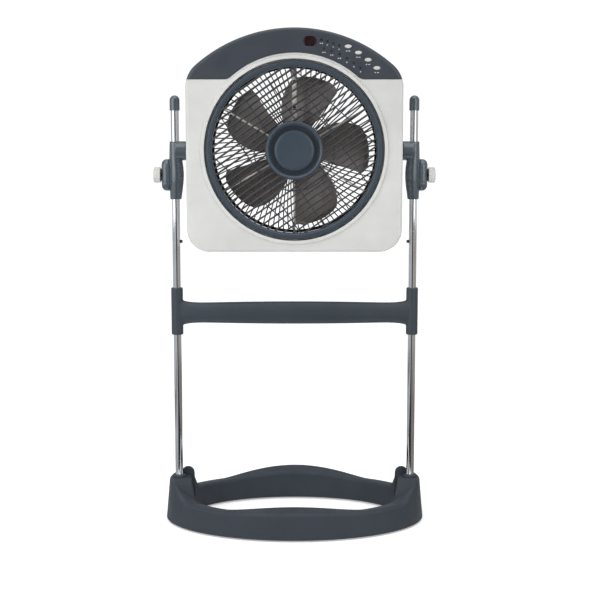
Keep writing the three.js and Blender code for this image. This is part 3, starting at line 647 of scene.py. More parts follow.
# Rows up the bracket: height, reach towards the outside, reach towards the head, half depth.
BRACKET_ROWS = [
    (658, 10.9, 11.6, 11.2),
    (676, 11.8, 14.2, 13.0),
    (694, 12.3, 16.4, 14.6),
    (708, 12.4, 17.0, 15.0),
    (722, 12.3, 16.2, 14.6),
    (738, 12.0, 13.6, 13.4),
    (756, 11.5, 11.6, 12.0),
    (773, 10.9, 10.4, 10.9),
]
SEAM_Z = 694.0
LUG_R = 19.0
BOSS = {"half_y": 14.5, "half_z": 31.5, "out": 28.0, "in": 7.0}


def bracket_shells():
    """The right-hand bracket: a leaning vase, a lug towards the head and a clamp boss outside."""
    rows = np.array(BRACKET_ROWS)
    heights = np.linspace(rows[0, 0], rows[-1, 0], 60)
    turn = full_turn(72)
    rings = []
    for z in heights:
        out, inside, deep = (np.interp(z, rows[:, 0], rows[:, k]) for k in (1, 2, 3))
        x = TUBE_X + (out - inside) / 2 + (out + inside) / 2 * np.cos(turn)
        rings.append(columns(x, deep * np.sin(turn), z))
    vase = solid(rings)
    face = low("bracket_right")[0]
    lug = turned(rectangle(0, LUG_R, face, TUBE_X), [0, 1.0, 1.0, 0], 4, "x", 96)
    lug = shifted(lug, 0, 0, AXIS_Z - 1.5)
    outline = round_box(BOSS["half_y"], BOSS["half_z"], 14.0, 12)
    pill = plate(outline, -BOSS["out"], -BOSS["in"], edge=10.0, back_edge=6.5, crown=0.6, steps=12)
    web = plate(round_box(9.0, 24.0, 8.5, 8), -18.0, 0, edge=0.5)
    boss = []
    for points, faces in (pill, web):
        x, y, z = points.T
        boss.append((columns(TUBE_X - y, x, z + BOSS_Z), faces))
    return together(vase, lug, *boss)


def box_shell(x0, x1, y0, y1, z0, z1):
    return solid([[(x, y, z) for x, y in rectangle(x0, x1, y0, y1)] for z in (z0, z1)])


def build_brackets():
    bore = lathe(rectangle(0, BORE_R, 600, 800), "z", 64)
    inner = low("bracket_right")[0] - 2
    pin_hole = lathe(rectangle(0, 6.3, inner, TUBE_X - 11.5), "x", 48)
    screw_hole = lathe(rectangle(0, 3.8, 0, 40), "x", 32)
    for word, side in SIDES:
        for name, node, z0, z1 in (
            ("bracket_shell", "bracket", SEAM_Z + 0.25, 800),
            ("collar_shell", "bracket_collar", 600, SEAM_Z - 0.25),
        ):
            body = mesh_object(f"{name}_{word}", mirrored(bracket_shells(), side))
            softened(body, 0.85, 3)
            combine(
                body, "DIFFERENCE",
                mirrored(shifted(bore, TUBE_X), side),
                mirrored(shifted(pin_hole, 0, 0, AXIS_Z), side),
                mirrored(shifted(screw_hole, TUBE_X, 0, BOSS_Z), side),
            )
            combine(body, "INTERSECT", mirrored(box_shell(200, 300, -60, 60, z0, z1), side))
            finished(body, CAP_MAT, "carriage", [f"{node}_{word}"], sharp=50)


def knob_shell():
    """A ridged hand knob about X, its inner face at x = 0."""
    thick = 13.5
    ridges = 18
    turn = full_turn(ridges * 16)
    wave = 15.5 - 0.25 + 0.25 * np.clip(1.6 * np.cos(ridges * turn), -1, 1)
    rings = [
        (0, 7.9),
        (4.3, 7.9),
        (4.4, 0),
        (12.6, 0),
        (wave - 1.2, 0),
        (wave - 0.35, 0.35),
        (wave, 1.2),
        (wave, thick - 2.4),
        (wave - 0.5, thick - 1.1),
        (wave - 1.5, thick - 0.3),
        (12.6, thick),
        (11.2, thick),
        (10.6, thick - 0.7),
        (5.0, thick - 1.1),
        (0, thick - 1.1),
    ]
    stack = [columns(x, r * np.cos(turn), r * np.sin(turn)) for r, x in rings]
    return wrap(np.array(stack), closed=False)


def build_clamps():
    inner = low("clamp_knob_right")[0]
    for word, side in SIDES:
        body = f"knob_{word}"
        knob = mirrored(shifted(knob_shell(), inner, 0, BOSS_Z), side)
        piece(f"hand_knob_{word}", knob, KNOB_MAT, body, [f"clamp_knob_{word}"])
        stem = [(0, TUBE_R + 0.4), (3.4, TUBE_R + 0.4), (3.4, 28.3)]
        flange = [(12.5, 28.3), (12.5, 29.4), (4, 29.4), (4, 36.6), (0, 36.6)]
        screw = turned(stem + flange, [0, 0.6, 0.1, 0.3, 0.3, 0.1, 0.6, 0], 3, "x", 48)
        screw = mirrored(shifted(screw, TUBE_X, 0, BOSS_Z), side)
        piece(f"threaded_screw_{word}", screw, SCREW_MAT, body, [f"clamp_screw_{word}"])


# ---- head ----

ARCH_R = 294.0
SHOULDER_R = 58.0
CORNER_R = 45.0
DUCT_IN = 176.5
DUCT_OUT = 179.5
LINE_Z = 137.0
PANEL_ARC = 188.0
PANEL_FILLET = 18.0
CASE_WALL = 3.0
AROUND = np.linspace(-math.pi / 2, 1.5 * math.pi, 480, endpoint=False)


def head_outline(inset=0.0):
    half = HEAD_HALF - inset
    foot = HEAD_BOTTOM + inset
    corner = CORNER_R - inset
    shoulder = SHOULDER_R - inset
    arch_z = HEAD_TOP - ARCH_R
    shoulder_x = HEAD_HALF - SHOULDER_R
    reach_r = ARCH_R - SHOULDER_R
    shoulder_z = arch_z + math.sqrt(reach_r ** 2 - shoulder_x ** 2)
    turn = math.degrees(math.atan2(shoulder_z - arch_z, shoulder_x))
    return np.concatenate([
        arc(half - corner, foot + corner, corner, -90, 0, 24),
        arc(shoulder_x, shoulder_z, shoulder, 0, turn, 24),
        arc(0, arch_z, ARCH_R - inset, turn, 180 - turn, 90),
        arc(-shoulder_x, shoulder_z, shoulder, 180 - turn, 180, 24),
        arc(-(half - corner), foot + corner, corner, 180, 270, 24),
    ])


def cross(a, b):
    return a[..., 0] * b[..., 1] - a[..., 1] * b[..., 0]


def reach(outline, angles):
    """How far a closed outline is from the fan's axis, in each direction."""
    start = outline[None, :, :]
    along = np.roll(outline, -1, axis=0)[None, :, :] - start
    ray = columns(np.cos(angles), np.sin(angles))[:, None, :]
    facing = cross(ray, along)
    facing = np.where(np.abs(facing) < 1e-9, 1e-9, facing)
    distance = cross(start, along) / facing
    share = cross(start, ray) / facing
    hit = (share >= -1e-6) & (share <= 1 + 1e-6) & (distance > 0)
    return np.where(hit, distance, 0).max(axis=1)


def seam_reach(angles, gap=0.0):
    """How far the panel's lower edge is from the fan's axis: level lines and an arc."""
    turn = np.arctan2(np.sin(angles), np.abs(np.cos(angles)))
    centre_z = LINE_Z + PANEL_FILLET
    centre_x = math.sqrt((PANEL_ARC + PANEL_FILLET) ** 2 - centre_z ** 2)
    line_end = math.atan2(LINE_Z, centre_x)
    arc_start = math.atan2(centre_z, centre_x)
    straight = (LINE_Z + gap) / np.maximum(np.sin(turn), 1e-6)
    towards = centre_x * np.cos(turn) + centre_z * np.sin(turn)
    under = towards ** 2 - centre_x ** 2 - centre_z ** 2 + (PANEL_FILLET - gap) ** 2
    curve = towards - np.sqrt(np.maximum(under, 0))
    out = np.where(turn < line_end, straight, np.where(turn < arc_start, curve, PANEL_ARC + gap))
    lean = np.clip((turn - line_end) / (arc_start - line_end), 0, 1)
    square = np.where(turn < line_end, np.sin(turn), lean + (1 - lean) * math.sin(line_end))
    return out, square


def roll(distance, radius):
    """How far a face falls back at a distance from its rolled edge."""
    inside = np.clip(radius - distance, 0, radius)
    return radius - np.sqrt(np.maximum(radius ** 2 - inside ** 2, 0))


def corner_angle():
    """The direction in which the panel's lower edge meets the side of the head."""
    angles = np.radians(np.linspace(20, 45, 5001))
    gap = reach(head_outline(), angles) - seam_reach(angles)[0]
    return angles[np.argmax(gap > 0)]


def level_distances(radius, steps=6):
    turn = np.linspace(0, math.pi / 2, steps + 1)
    return radius * (1 - np.sin(turn))


def face_rows(inner, outer, inner_square, outer_square, inner_edge, outer_edge, front, spans=7):
    """Rows of (radius, depth) over a face between two edges, rolled over at both."""
    width = outer - inner
    rows = []
    for distance in level_distances(inner_edge)[::-1]:
        rows.append(inner + np.minimum(distance / inner_square, 0.45 * width))
    start = rows[-1]
    last = [outer - np.minimum(d / outer_square, 0.45 * width) for d in level_distances(outer_edge)]
    for k in range(1, spans):
        rows.append(start + (last[0] - start) * k / spans)
    rows.extend(last)
    out = []
    for r in rows:
        fall = roll((r - inner) * inner_square, inner_edge) + roll((outer - r) * outer_square, outer_edge)
        out.append((r, front + fall))
    return out


def polar_rings(rows, angles):
    rings = [columns(r * np.cos(angles), y, r * np.sin(angles) + AXIS_Z) for r, y in rows]
    return np.array(rings)


def outline_lean(angles):
    """One for a ray square to the outline, less where it leans."""
    return 1 / (reach(head_outline(0), angles) - reach(head_outline(1), angles))


def rolled_face(start, outer, square, edge, face, turns, limit):
    """Rows of (radius, depth) from a lip's end out to the outline, where the face rolls over."""
    radii = [start + (outer - start) * k / 8 for k in range(1, 8)]
    for turn in np.linspace(0, math.pi / 2, turns):
        radii.append(outer - np.minimum(edge * (1 - math.sin(turn)) / square, limit * (outer - start)))
    inwards = -np.sign(face)
    return [(r, face + inwards * roll((outer - r) * square, edge)) for r in radii]


def build_front_housing():
    corner = corner_angle()
    tiny = math.radians(0.02)
    marks = [corner - tiny, corner + tiny, math.pi - corner - tiny, math.pi - corner + tiny]
    angles = np.sort(np.concatenate([AROUND, marks]))
    in_panel = (angles > corner) & (angles < math.pi - corner)
    seam, seam_square = seam_reach(angles)
    outer = np.where(in_panel, seam, reach(head_outline(), angles))
    square = np.where(in_panel, seam_square, outline_lean(angles))
    edge = np.where(in_panel, 0.8, 5.0)
    step = HEAD_FRONT - 4
    lip = rounded(
        [(DUCT_IN, -61.2), (DUCT_IN, step), (182.6, step), (184.6, HEAD_FRONT), (185.6, HEAD_FRONT)],
        [0, 1.6, 1.6, 0.9, 0], 5, closed=False,
    )
    rows = [(DUCT_IN, -SPLIT), (DUCT_IN, -40.0), *lip]
    rows.extend(rolled_face(lip[-1][0], outer, square, edge, HEAD_FRONT, 9, 0.1))
    end = np.where(in_panel, -55.5, -SPLIT)
    rows.extend([
        (outer, end - np.where(in_panel, 0, 0.9)),
        (outer - np.where(in_panel, 0, 0.6), end),
        (outer - CASE_WALL / square, end),
        (outer - CASE_WALL / square, -57.0),
        (DUCT_OUT, -57.0),
        (DUCT_OUT, -SPLIT),
    ])
    shell = mesh_object("front_shell", wrap(polar_rings(rows, angles)))
    cut_pivot_holes(shell)
    finished(shell, CASE_MAT, "head", ["front_housing"], sharp=30)


def cut_pivot_holes(shell):
    for _, side in SIDES:
        hole = lathe(rectangle(0, 6.3, 195, 230), "x", 40)
        combine(shell, "DIFFERENCE", mirrored(shifted(hole, 0, 0, AXIS_Z), side))


SCREW_NODES = [f"housing_screw_{i}" for i in range(1, 5)]
BUTTON_NODES = [f"button_{i}" for i in range(1, 5)]


def build_rear_housing():
    outer = reach(head_outline(), AROUND)
    lean = outline_lean(AROUND)
    edge = 9.0
    bead = HEAD_BACK + 1.6
    lip = rounded(
        [(DUCT_IN, 53.6), (170.4, 53.6), (170.4, HEAD_BACK), (180.0, HEAD_BACK), (181.0, bead), (186.0, bead),
         (187.0, HEAD_BACK), (188.5, HEAD_BACK)],
        [0, 0.4, 1.0, 0.5, 0.6, 0.6, 0.5, 0], 4, closed=False,
    )
    rows = [(DUCT_IN, SPLIT), *lip]
    rows.extend(rolled_face(lip[-1][0], outer, lean, edge, HEAD_BACK, 11, 0.12))
    rows.extend([
        (outer, SPLIT + 0.9),
        (outer - 0.6, SPLIT),
        (outer - CASE_WALL / lean, SPLIT),
        (outer - CASE_WALL / lean, HEAD_BACK - edge),
        (outer - (CASE_WALL + edge * 0.7) / lean, HEAD_BACK - CASE_WALL),
        (DUCT_OUT, HEAD_BACK - CASE_WALL),
        (DUCT_OUT, SPLIT),
    ])
    shell = mesh_object("rear_shell", wrap(polar_rings(rows, AROUND)))
    cut_pivot_holes(shell)
    hole = lathe([(0, 45), (3.7, 45), (3.7, 59), (5.0, 62), (0, 62)], "y", 32)
    for node in SCREW_NODES:
        combine(shell, "DIFFERENCE", placed(hole, node))
    outlet = lathe(rectangle(0, 7.3, 45, 70), "y", 40)
    combine(shell, "DIFFERENCE", placed(outlet, "cord_gland"))
    finished(shell, CASE_MAT, "head", ["rear_housing"], sharp=30)


LED_ROWS = [(219.0, 13.8, 3.15, 4), (204.4, 16.2, 4.52, 6)]


def led_places():
    """Places of the ten small lamps, on two arcs round the fan's axis."""
    out = []
    for r, start, step, count in LED_ROWS:
        for i in range(count):
            turn = math.radians(start + i * step)
            out.append((r * math.sin(turn), AXIS_Z + r * math.cos(turn)))
    return out


def build_panel():
    corner = corner_angle()
    tip = math.radians(0.07)
    near = np.linspace(0, 1, 18) ** 2 * math.radians(8)
    first = corner + tip + near
    span = np.linspace(first[-1], math.pi - first[-1], 260)[1:-1]
    angles = np.concatenate([first, span, math.pi - first[::-1]])
    inner, square = seam_reach(angles, 0.35)
    outer = reach(head_outline(), angles)
    lean = outline_lean(angles)
    width = outer - inner
    rows = [(inner, -SPLIT)]
    rows.extend(face_rows(inner, outer, square, lean, 0.9, 6.5, PANEL_FRONT, 9))
    hollow = np.array([smoothstep(value, 8, 14) for value in width])
    depth = -1.2 + (PANEL_FRONT + CASE_WALL + 1.2) * hollow
    wall_in = np.minimum(CASE_WALL / square, 0.35 * width)
    wall_out = np.minimum(CASE_WALL / lean, 0.35 * width)
    rows.extend([
        (outer, -SPLIT - 0.9),
        (outer - np.minimum(0.6, 0.2 * width), -SPLIT),
        (outer - wall_out, -SPLIT),
        (outer - wall_out, depth),
        (inner + wall_in, depth),
        (inner + wall_in, -SPLIT),
    ])
    rings = polar_rings(rows, angles)
    panel = mesh_object("panel_shell", wrap(rings.transpose(1, 0, 2), closed=False, caps=True))
    lamp_hole = lathe(rectangle(0, 2.5, -70, -50), "y", 24)
    button_hole = plate(oval(7.1, 3.9, 48), -70, -50, 0.1)
    window_hole = plate(round_box(13.1, 9.7, 9.0, 10), -70, -50, 0.1)
    combine(panel, "DIFFERENCE", *(shifted(lamp_hole, x, 0, z) for x, z in led_places()))
    combine(panel, "DIFFERENCE", *(placed(button_hole, node) for node in BUTTON_NODES))
    combine(panel, "DIFFERENCE", placed(window_hole, "ir_window"))
    finished(panel, PANEL_MAT, "head", ["control_panel"], sharp=30)


def build_panel_fittings():
    front = PANEL_FRONT
    window = plate(round_box(12.8, 9.4, 8.8, 10), front - 0.1, -54.5, 0.6, crown=0.3)
    piece("dark_window", placed(window, "ir_window"), WINDOW_MAT, "head", ["ir_window"])
    lens = turned([(0, -62.4), (2.2, -61.9), (2.2, -54.6), (0, -54.6)], [0, 1.0, 0.2, 0], 5, "y", 24)
    lenses = [shifted(lens, x, 0, z) for x, z in led_places()]
    piece("lamp_lenses", together(*lenses), LED_MAT, "head", ["led_lenses"])
    cap = plate(oval(6.6, 3.4, 56), front - 1.6, front + 4, 0.9, crown=0.5, steps=6)
    flange = plate(oval(8.2, 5.0, 56), front + 3.3, front + 4.6, 0.3, back_edge=0.3)
    stem = lathe(rectangle(0, 2, front + 4, -54), "y", 24)
    for node in BUTTON_NODES:
        button = placed(together(cap, flange, stem), node)
        piece(f"oval_{node}", button, KNOB_MAT, f"push_{node}", [node])
    build_panel_marks()


def build_panel_marks():
    """Plain dots and short bars where the printing would be."""
    marks = []
    face = PANEL_FRONT - 0.06

    def dash(x, z, length, tall):
        outline = round_box(length / 2, tall / 2, tall / 2.2, 3)
        marks.append(shifted(plate(outline, face, face + 0.3, 0.05), x, 0, z))

    for k, (x, z) in enumerate(led_places()):
        lower = k >= LED_ROWS[0][3]
        below = z - (8.2 if lower else 7.4)
        if k in (0, 4, 5, 6):
            dash(x - 1.9, below, 2.6, 2.0)
            dash(x + 2.0, below, 2.6, 2.0)
        else:
            dash(x, below, 2.4, 1.6 if k in (1, 2, 3) else 2.4)
    for node in BUTTON_NODES:
        x, _, z = middle(node)
        below = z - 9.0
        dash(x - 3.0, below, 2.6, 1.9)
        dash(x + 2.2, below, 4.0, 1.3)
    piece("panel_marks", together(*marks), MARK_MAT, "head")


# ---- inside the head ----

def on_axis(shell):
    return shifted(shell, 0, 0, AXIS_Z)


def build_rear_guard():
    """The fixed rear guard: many thin swept ribs between a disc and a rim."""
    front = low("rear_guard")[1]
    back = high("rear_guard")[1]
    rim = turned(rectangle(163.5, 169.5, front, back), 1.2, 4, "y", 160)
    disc = turned(
        [(0, front), (50, front), (50, back - 0.4), (44, back - 0.4), (42, back - 1.4), (38, back - 1.4),
         (36, back), (0, back + 0.8)],
        [0, 0.8, 1.0, 0.5, 0.5, 0.5, 3, 0], 4, "y", 96,
    )
    shells = [rim, disc]
    ribs = 96
    section = rounded(rectangle(-1.2, 1.2, front + 0.5, back - 0.5), 0.6, 2)
    for i in range(ribs):
        rings = []
        for share in np.linspace(0, 1, 7):
            r = 48.5 + (165.5 - 48.5) * share
            turn = 2 * math.pi * i / ribs + math.radians(7) * share
            radial = np.array([math.cos(turn), math.sin(turn)])
            side = np.array([-math.sin(turn), math.cos(turn)])
            points = [radial * r + side * offset for offset, _ in section]
            rings.append([(p[0], y, p[1]) for p, (_, y) in zip(points, section)])
        shells.append(solid(rings))
    piece("guard_ribs", on_axis(together(*shells)), GUARD_MAT, "head", ["rear_guard"])


def build_motor():
    front = low("motor_body")[1]
    back = high("motor_body")[1]
    r = 43.0
    can = turned(
        [(4.3, front), (14, front), (16, front + 4), (r - 5, front + 4), (r, front + 10), (r, front + 14),
         (r - 1.2, front + 14.6), (r - 1.2, back - 12.6), (r, back - 12), (r, back - 5), (r - 5, back),
         (4.3, back)],
        [0.3, 1.2, 1.2, 3, 3, 0.3, 0.3, 0.3, 0.3, 3, 2, 0.3], 4, "y", 96,
    )
    piece("motor_can", on_axis(can), MOTOR_MAT, "head", ["motor_body"])
    front = low("grille_motor")[1]
    back = high("grille_motor")[1]
    can = turned(
        [(0, front + 8.3), (3.3, front + 8.3), (3.3, front), (24, front), (24, back), (0, back)],
        [0, 0, 0.2, 1.6, 1.4, 0], 4, "y", 72,
    )
    piece("slow_motor", on_axis(can), MOTOR_MAT, "head", ["grille_motor"])


def cross_axes(turn):
    """Two directions in the plane of the fan: one at an angle from X, one square to it."""
    return np.array([math.cos(turn), 0, math.sin(turn)]), np.array([-math.sin(turn), 0, math.cos(turn)])


def build_spider():
    """The fixed spider in front of the blades, with two screws in its upper arm."""
    front = low("front_spider")[1]
    rim = turned(rectangle(172.2, 175.8, front, front + 10), 0.8, 3, "y", 160)
    disc = turned(rectangle(3.4, 30, front, front + 4), [0.3, 1.2, 1.2, 0.3], 3, "y", 72)
    shells = [rim, disc]
    for degrees in range(30, 390, 60):
        turn = math.radians(degrees)
        half = 4.5 if degrees == 90 else 1.8
        section = rounded(rectangle(-half, half, front, front + 4), 1.0, 3)
        radial, side = cross_axes(turn)
        shells.append(rod(radial * 28, radial * 173.5, section, side, (0, 1, 0)))
    piece("spider_arms", on_axis(together(*shells)), SPIDER_MAT, "head", ["front_spider"])
    screw = turned(rectangle(0, 3.4, front - 1.2, front + 0.5), [0, 0.9, 0.1, 0], 4, "y", 32)
    heads = [shifted(screw, 0, 0, AXIS_Z + r) for r in (84.0, 133.0)]
    piece("spider_screws", together(*heads), SCREW_MAT, "head")


def blade(first_angle):
    """One swept blade: a straight radial edge in front and a round edge behind."""
    rings = []
    chord = 26
    half_turn = np.linspace(0, math.pi, chord + 1)
    across_front = (1 - np.cos(half_turn)) / 2
    root_r = 36.5
    tip_r = 150.0
    for k in range(44):
        share = math.sin(k / 43 * math.pi / 2)
        r = root_r + (tip_r - root_r) * share
        full = 62 - 8 * share - 19 * share * share
        round_off = max(0.0, (share - 0.9) / 0.1)
        width = max(1.5, full * math.sqrt(max(0.0, 1 - round_off ** 2)))
        start = 0.3 * (full - width)
        rise = 27 * (1 - 0.35 * share)
        thick = 2.4 * (1 - 0.4 * share)
        section = []
        for side, places in ((-1, across_front), (1, across_front[::-1][1:-1])):
            for place in places:
                bow = 3.2 * (1 - (2 * place - 1) ** 2)
                half = thick / 2 * (1 - abs(2 * place - 1) ** 5) ** 0.5
                y = -1.5 + rise * (place - 0.5) + bow + side * half
                angle = math.radians(first_angle + start + width * place)
                section.append((r * math.cos(angle), y, r * math.sin(angle)))
        rings.append(section)
    return solid(rings)


def build_fan():
    hub = turned(
        [(4.4, -17), (30, -17), (34, -15.6), (40, -12), (40, 14), (37, 14), (37, -9), (4.4, -9)],
        [0.3, 2, 2, 3, 0.6, 0.6, 1, 0.3], 4, "y", 96,
    )
    shells = [hub, *(blade(-19 + 72 * i) for i in range(5))]
    piece("fan_blades", on_axis(together(*shells)), BLADE_MAT, "fan_rotor", ["impeller"])
    front = low("spinner_nut")[1]
    back = high("spinner_nut")[1]
    nut = turned(
        [(0, front), (10, front), (14, front + 4), (14, back), (4.3, back), (4.3, front + 3), (0, front + 3)],
        [0, 2, 2, 0.4, 0.2, 0.2, 0], 4, "y", 64,
    )
    piece("spinner_cap", on_axis(nut), BLADE_MAT, "fan_rotor", ["spinner_nut"])


SLAT_TILT = 34.5
RIM_IN = 161.5
RIM_OUT = 173.5
SLAT_PITCH = 12.0
SLAT_Y = -56.0
HUB_R = 48.0


def chord_half(across, r):
    return math.sqrt(max(r * r - across * across, 0.0))


def build_grille():
    """The turning grille: parallel louvres in a ring, stiffened by thin braces behind them."""
    front = low("louvre_grille")[1]
    along, up = cross_axes(math.radians(SLAT_TILT))
    depth = np.array([0, 1, 0])
    rim = turned(
        [(RIM_IN, front + 3.2), (RIM_IN + 3.4, front), (RIM_OUT - 3.0, front), (RIM_OUT, front + 3.6),
         (RIM_OUT, -48), (RIM_IN, -48)],
        [1.6, 1.8, 1.8, 1.6, 0.8, 0.8], 4, "y", 192,
    )
    piece("louvre_rim", on_axis(rim), RING_MAT, "grille_rotor", ["louvre_grille"])
    inner_ring = turned(rectangle(77.6, 80.0, -56, -51), 0.7, 3, "y", 128)
    hub = turned(rectangle(3.3, HUB_R + 2, -58, -51), [0.3, 1.5, 1.0, 0.3], 3, "y", 72)
    shells = [inner_ring, hub]
    lean = math.radians(14)
    blade_up = up * math.cos(lean) + depth * math.sin(lean)
    blade_back = depth * math.cos(lean) - up * math.sin(lean)
    section = rounded(rectangle(-5.0, 5.0, -0.9, 0.9), 0.8, 3)
    for i in range(-13, 14):
        across = i * SLAT_PITCH
        half = chord_half(across, RIM_IN + 2.5)
        spans = [(-half, half)]
        if abs(across) < HUB_R:
            hole = chord_half(across, HUB_R)
            spans = [(-half, -hole), (hole, half)]
        origin = depth * SLAT_Y + up * across
        for start, end in spans:
            shells.append(rod(origin + along * start, origin + along * end, section, blade_back, blade_up))
    thin = rounded(rectangle(-1.1, 1.1, -2.2, 2.2), 0.8, 2)
    origin = depth * -50.4
    limit = RIM_IN + 2.0

    def brace(u, v0, v1):
        base = origin + along * u
        shells.append(rod(base + up * v0, base + up * v1, thin, along, depth))

    for u, half_side in ((-23, 1), (35, 1), (-35, -1), (23, -1)):
        brace(u, half_side * 40, half_side * chord_half(u, limit))
    for u in (-82, 82):
        brace(u, -chord_half(u, limit), chord_half(u, limit))
    for normal in (48, 228):
        out, run = cross_axes(math.radians(normal))
        half = chord_half(116, limit)
        base = origin + out * 116
        shells.append(rod(base - run * half, base + run * half, thin, out, depth))
    # The web is one moulding with the rim; its greyer copy of the rim plastic is painted shade
    piece("louvre_web", on_axis(together(*shells)), PAINTED_SHADE_SLAT_MAT, "grille_rotor")


def build_grille_cap():
    """The cap on the grille: a raised lip, a groove with painted shade in it and a low dished disc."""
    lip = turned(
        [(0, -61.3), (57, -61.3), (57, -70.2), (54, -74), (50, -71.5), (45.5, -62.4), (41, -62.4),
         (0, -62.4)],
        [0, 0.5, 2.4, 2.2, 3, 1.5, 0.2, 0], 5, "y", 128,
    )
    piece("cap_lip", on_axis(lip), RING_MAT, "grille_rotor", ["grille_cap"])
    disc = turned(
        [(0, -62), (40.5, -62), (40.5, -66.4), (37.5, -69.6), (33, -70.2), (18, -69.2), (0, -68.9)],
        [0, 0.4, 1.6, 2.0, 2.5, 8, 0], 5, "y", 128,
    )
    piece("cap_disc", on_axis(disc), RING_MAT, "grille_rotor")
    # A thin dark ring on the floor of the groove: painted shade, not a part of its own
    groove = turned([(40.2, -62.3), (46.6, -62.3), (45.8, -63.4), (40.2, -63.4)], 0.3, 2, "y", 128)
    piece("cap_groove_painted_shade", on_axis(groove), PAINTED_GROOVE_SHADE, "grille_rotor")


# ---- small parts kept from the frame, and their finish ----

def build_screws():
    """Case screws with a cross recess, and the gland round the cord outlet."""
    for node in SCREW_NODES:
        tip = low(node)[1]
        top = high(node)[1]
        shell = turned(
            [(0, tip), (1.8, tip), (1.8, top - 2.6), (3.3, top - 1.4), (3.3, top - 0.4), (0, top)],
            [0, 0.6, 0.2, 0.2, 0.4, 0], 3, "y", 32,
        )
        screw = mesh_object(f"cross_{node}", placed(shell, node))
        for half_x, half_z in ((2.2, 0.5), (0.5, 2.2)):
            recess = box_shell(-half_x, half_x, top - 1.0, top + 1, -half_z, half_z)
            combine(screw, "DIFFERENCE", placed(recess, node))
        finished(screw, SCREW_MAT, "head", [node])
    section = [(3.6, 52), (7, 52), (7, 60.5), (9, 60.5), (9, 62.5), (3.6, 62.5)]
    gland = turned(section, [0.3, 0.3, 0.2, 0.3, 1.0, 0.8], 3, "y", 56)
    piece("gland_ring", placed(gland, "cord_gland"), RUBBER, "head", ["cord_gland"])


KEPT = {
    "motor_plate": STEEL,
    "motor_shaft": STEEL,
    "grille_shaft": STEEL,
    "pivot_pin_left": STEEL,
    "pivot_pin_right": STEEL,
    "pivot_washer_left": RUBBER,
    "pivot_washer_right": RUBBER,
    "capacitor": GUARD_MAT,
    "control_board": BOARD_MAT,
}


def finish_kept_nodes():
    for node, material in KEPT.items():
        obj = frame["nodes"][node]
        if not obj.material_slots:
            obj.data.materials.append(material)
        for slot in obj.material_slots:
            slot.material = material


# ---- studio ----

ROOM = 1500.0  # the grey floor round the set ends here, at low walls
LANE = 400.0  # half the width of the dark lane toward the camera
WALL = 500.0  # height of the low walls round the room
NEAR_LEFT = -1100.0  # where the floor's lighter strip ends
FLAT = (0.2, 1.2)  # from and to which height a card on the floor reaches
BOTH = (-ROOM, ROOM)
PAST = (ROOM, ROOM + 10)
BEFORE = (-ROOM - 10, -ROOM)
STAND_UP = (FLAT[1], WALL)
DARK = (0.036, 0.034, 0.032, 1)
COOL = (0.46, 0.48, 0.50, 1)
WARM = (0.36, 0.34, 0.31, 1)
# Cards that only reflections see, each by its reach along X, Y and Z and its glow.
CARDS = {
    "far_left_card": ((-ROOM, NEAR_LEFT), BOTH, FLAT, (0.23, 0.23, 0.23, 1)),
    "near_left_card": ((NEAR_LEFT, -LANE), BOTH, FLAT, (0.42, 0.43, 0.45, 1)),
    "lane_card": ((-LANE, LANE), (-ROOM, -360), FLAT, DARK),
    "front_card": ((-LANE, LANE), BEFORE, (FLAT[1], 2400), DARK),
    "right_card": ((LANE, ROOM), BOTH, FLAT, (0.225, 0.205, 0.18, 1)),
    "left_wall": (BEFORE, BOTH, STAND_UP, COOL),
    "left_front_wall": ((-ROOM, -LANE), BEFORE, STAND_UP, COOL),
    "right_wall": (PAST, BOTH, STAND_UP, WARM),
    "right_front_wall": ((LANE, ROOM), BEFORE, STAND_UP, WARM),
}
SOFTBOXES = {
    "left_softbox": ((-1.55, -1.5, 1.25), 1.8, 22),
    "right_softbox": ((1.25, -1.75, 1.15), 0.9, 12),
}
SOFTBOX_TALL = 2.0
AIM = Vector((0, 0, 0.75))
CAMERA = {"y": -2.516, "z": 0.792, "x": 0.011, "pitch": -7.66, "pixels": 1250.0}


def staged(name, data, place=(0, 0, 0), turn=(0, 0, 0)):
    obj = bpy.data.objects.new(name, data)
    obj.location = place
    obj.rotation_euler = turn
    SCENE.collection.objects.link(obj)
    return obj


def build_floor():
    """Pale paper. It glows a little for the camera, so that it has no edge against the backdrop."""
    bpy.ops.mesh.primitive_plane_add(size=60, location=(0, 0, -0.0005))
    floor = bpy.context.object
    floor.name = "floor"
    shader = Shader("floor_paper")
    camera_ray = shader.add("LightPath").outputs["Is Camera Ray"]
    glow = shader.add("MapRange", To_Min=0.02, To_Max=0.38, Value=camera_ray).outputs["Result"]
    floor.data.materials.append(shader.dressed(
        Base_Color=shader.ramp(shader.noise(1.3, 4.0), (0.3, OFF_WHITE), (0.7, (0.97, 0.97, 0.97, 1))),
        Roughness=0.9,
        Specular_IOR_Level=0.1,
        Emission_Color=WHITE,
        Emission_Strength=glow,
        Normal=shader.bump(shader.noise(500.0), 0.1, 0.0002),
    ))


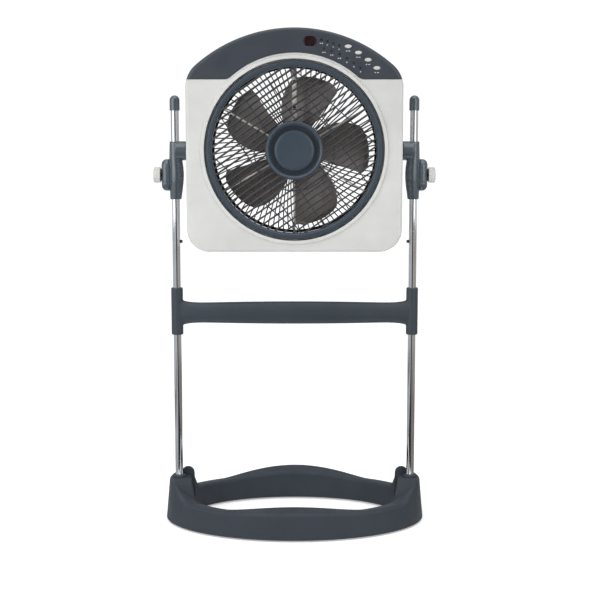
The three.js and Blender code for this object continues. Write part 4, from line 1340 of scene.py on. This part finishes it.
def build_backdrop():
    """A white surround: full for the camera, half for reflections and dim as a light."""
    world = bpy.data.worlds.new("studio")
    SCENE.world = world
    world.use_nodes = True
    tree = world.node_tree
    ray = add_node(tree, "LightPath").outputs
    other = add_node(tree, "MapRange", To_Min=0.3, To_Max=0.55, Value=ray["Is Glossy Ray"])
    seen = add_node(
        tree, "MapRange", To_Min=other.outputs["Result"], To_Max=1.05, Value=ray["Is Camera Ray"]
    )
    background = tree.nodes["Background"]
    put(tree, background.inputs["Color"], WHITE)
    put(tree, background.inputs["Strength"], seen.outputs["Result"])


def build_card(name, x_span, y_span, z_span, glow):
    """A faintly glowing card, like the dark room beyond the set."""
    sheet = mesh_object(name, box_shell(*x_span, *y_span, *z_span))
    felt = Shader(name + "_felt")
    shade = felt.ramp(felt.noise(4.0), (0.3, glow), (0.7, scaled(glow, 1.15)))
    sheet.data.materials.append(felt.dressed(
        Base_Color=BLACK, Roughness=1.0, Specular_IOR_Level=0.0, Emission_Strength=1.0, Emission_Color=shade
    ))
    sheet.visible_camera = False
    sheet.visible_shadow = False
    sheet.visible_diffuse = False


def build_lights():
    for name, (place, width, power) in SOFTBOXES.items():
        data = bpy.data.lights.new(name, "AREA")
        data.shape = "RECTANGLE"
        data.size = width
        data.size_y = SOFTBOX_TALL
        data.energy = power
        staged(name, data, place, (AIM - Vector(place)).to_track_quat("-Z", "Y").to_euler())
    sun = bpy.data.lights.new("overhead", "SUN")
    sun.energy = 1.5
    sun.angle = math.radians(70)
    staged("overhead", sun, turn=(math.radians(12), 0, 0))


def build_camera():
    data = bpy.data.cameras.new("camera")
    data.sensor_width = 36
    data.lens = 36 * CAMERA["pixels"] / 600
    turn = (math.radians(90 + CAMERA["pitch"]), 0, 0)
    SCENE.camera = staged("camera", data, (CAMERA["x"], CAMERA["y"], CAMERA["z"]), turn)
    SCENE.view_settings.view_transform = "Standard"


build_floor()
build_backdrop()
for card, reach_and_glow in CARDS.items():
    build_card(card, *reach_and_glow)
build_lights()
build_camera()
build_base()
build_crossbar()
build_tubes()
build_feet()
build_brackets()
build_clamps()
build_front_housing()
build_rear_housing()
build_panel()
build_panel_fittings()
build_rear_guard()
build_motor()
build_spider()
build_fan()
build_grille()
build_grille_cap()
build_screws()
finish_kept_nodes()
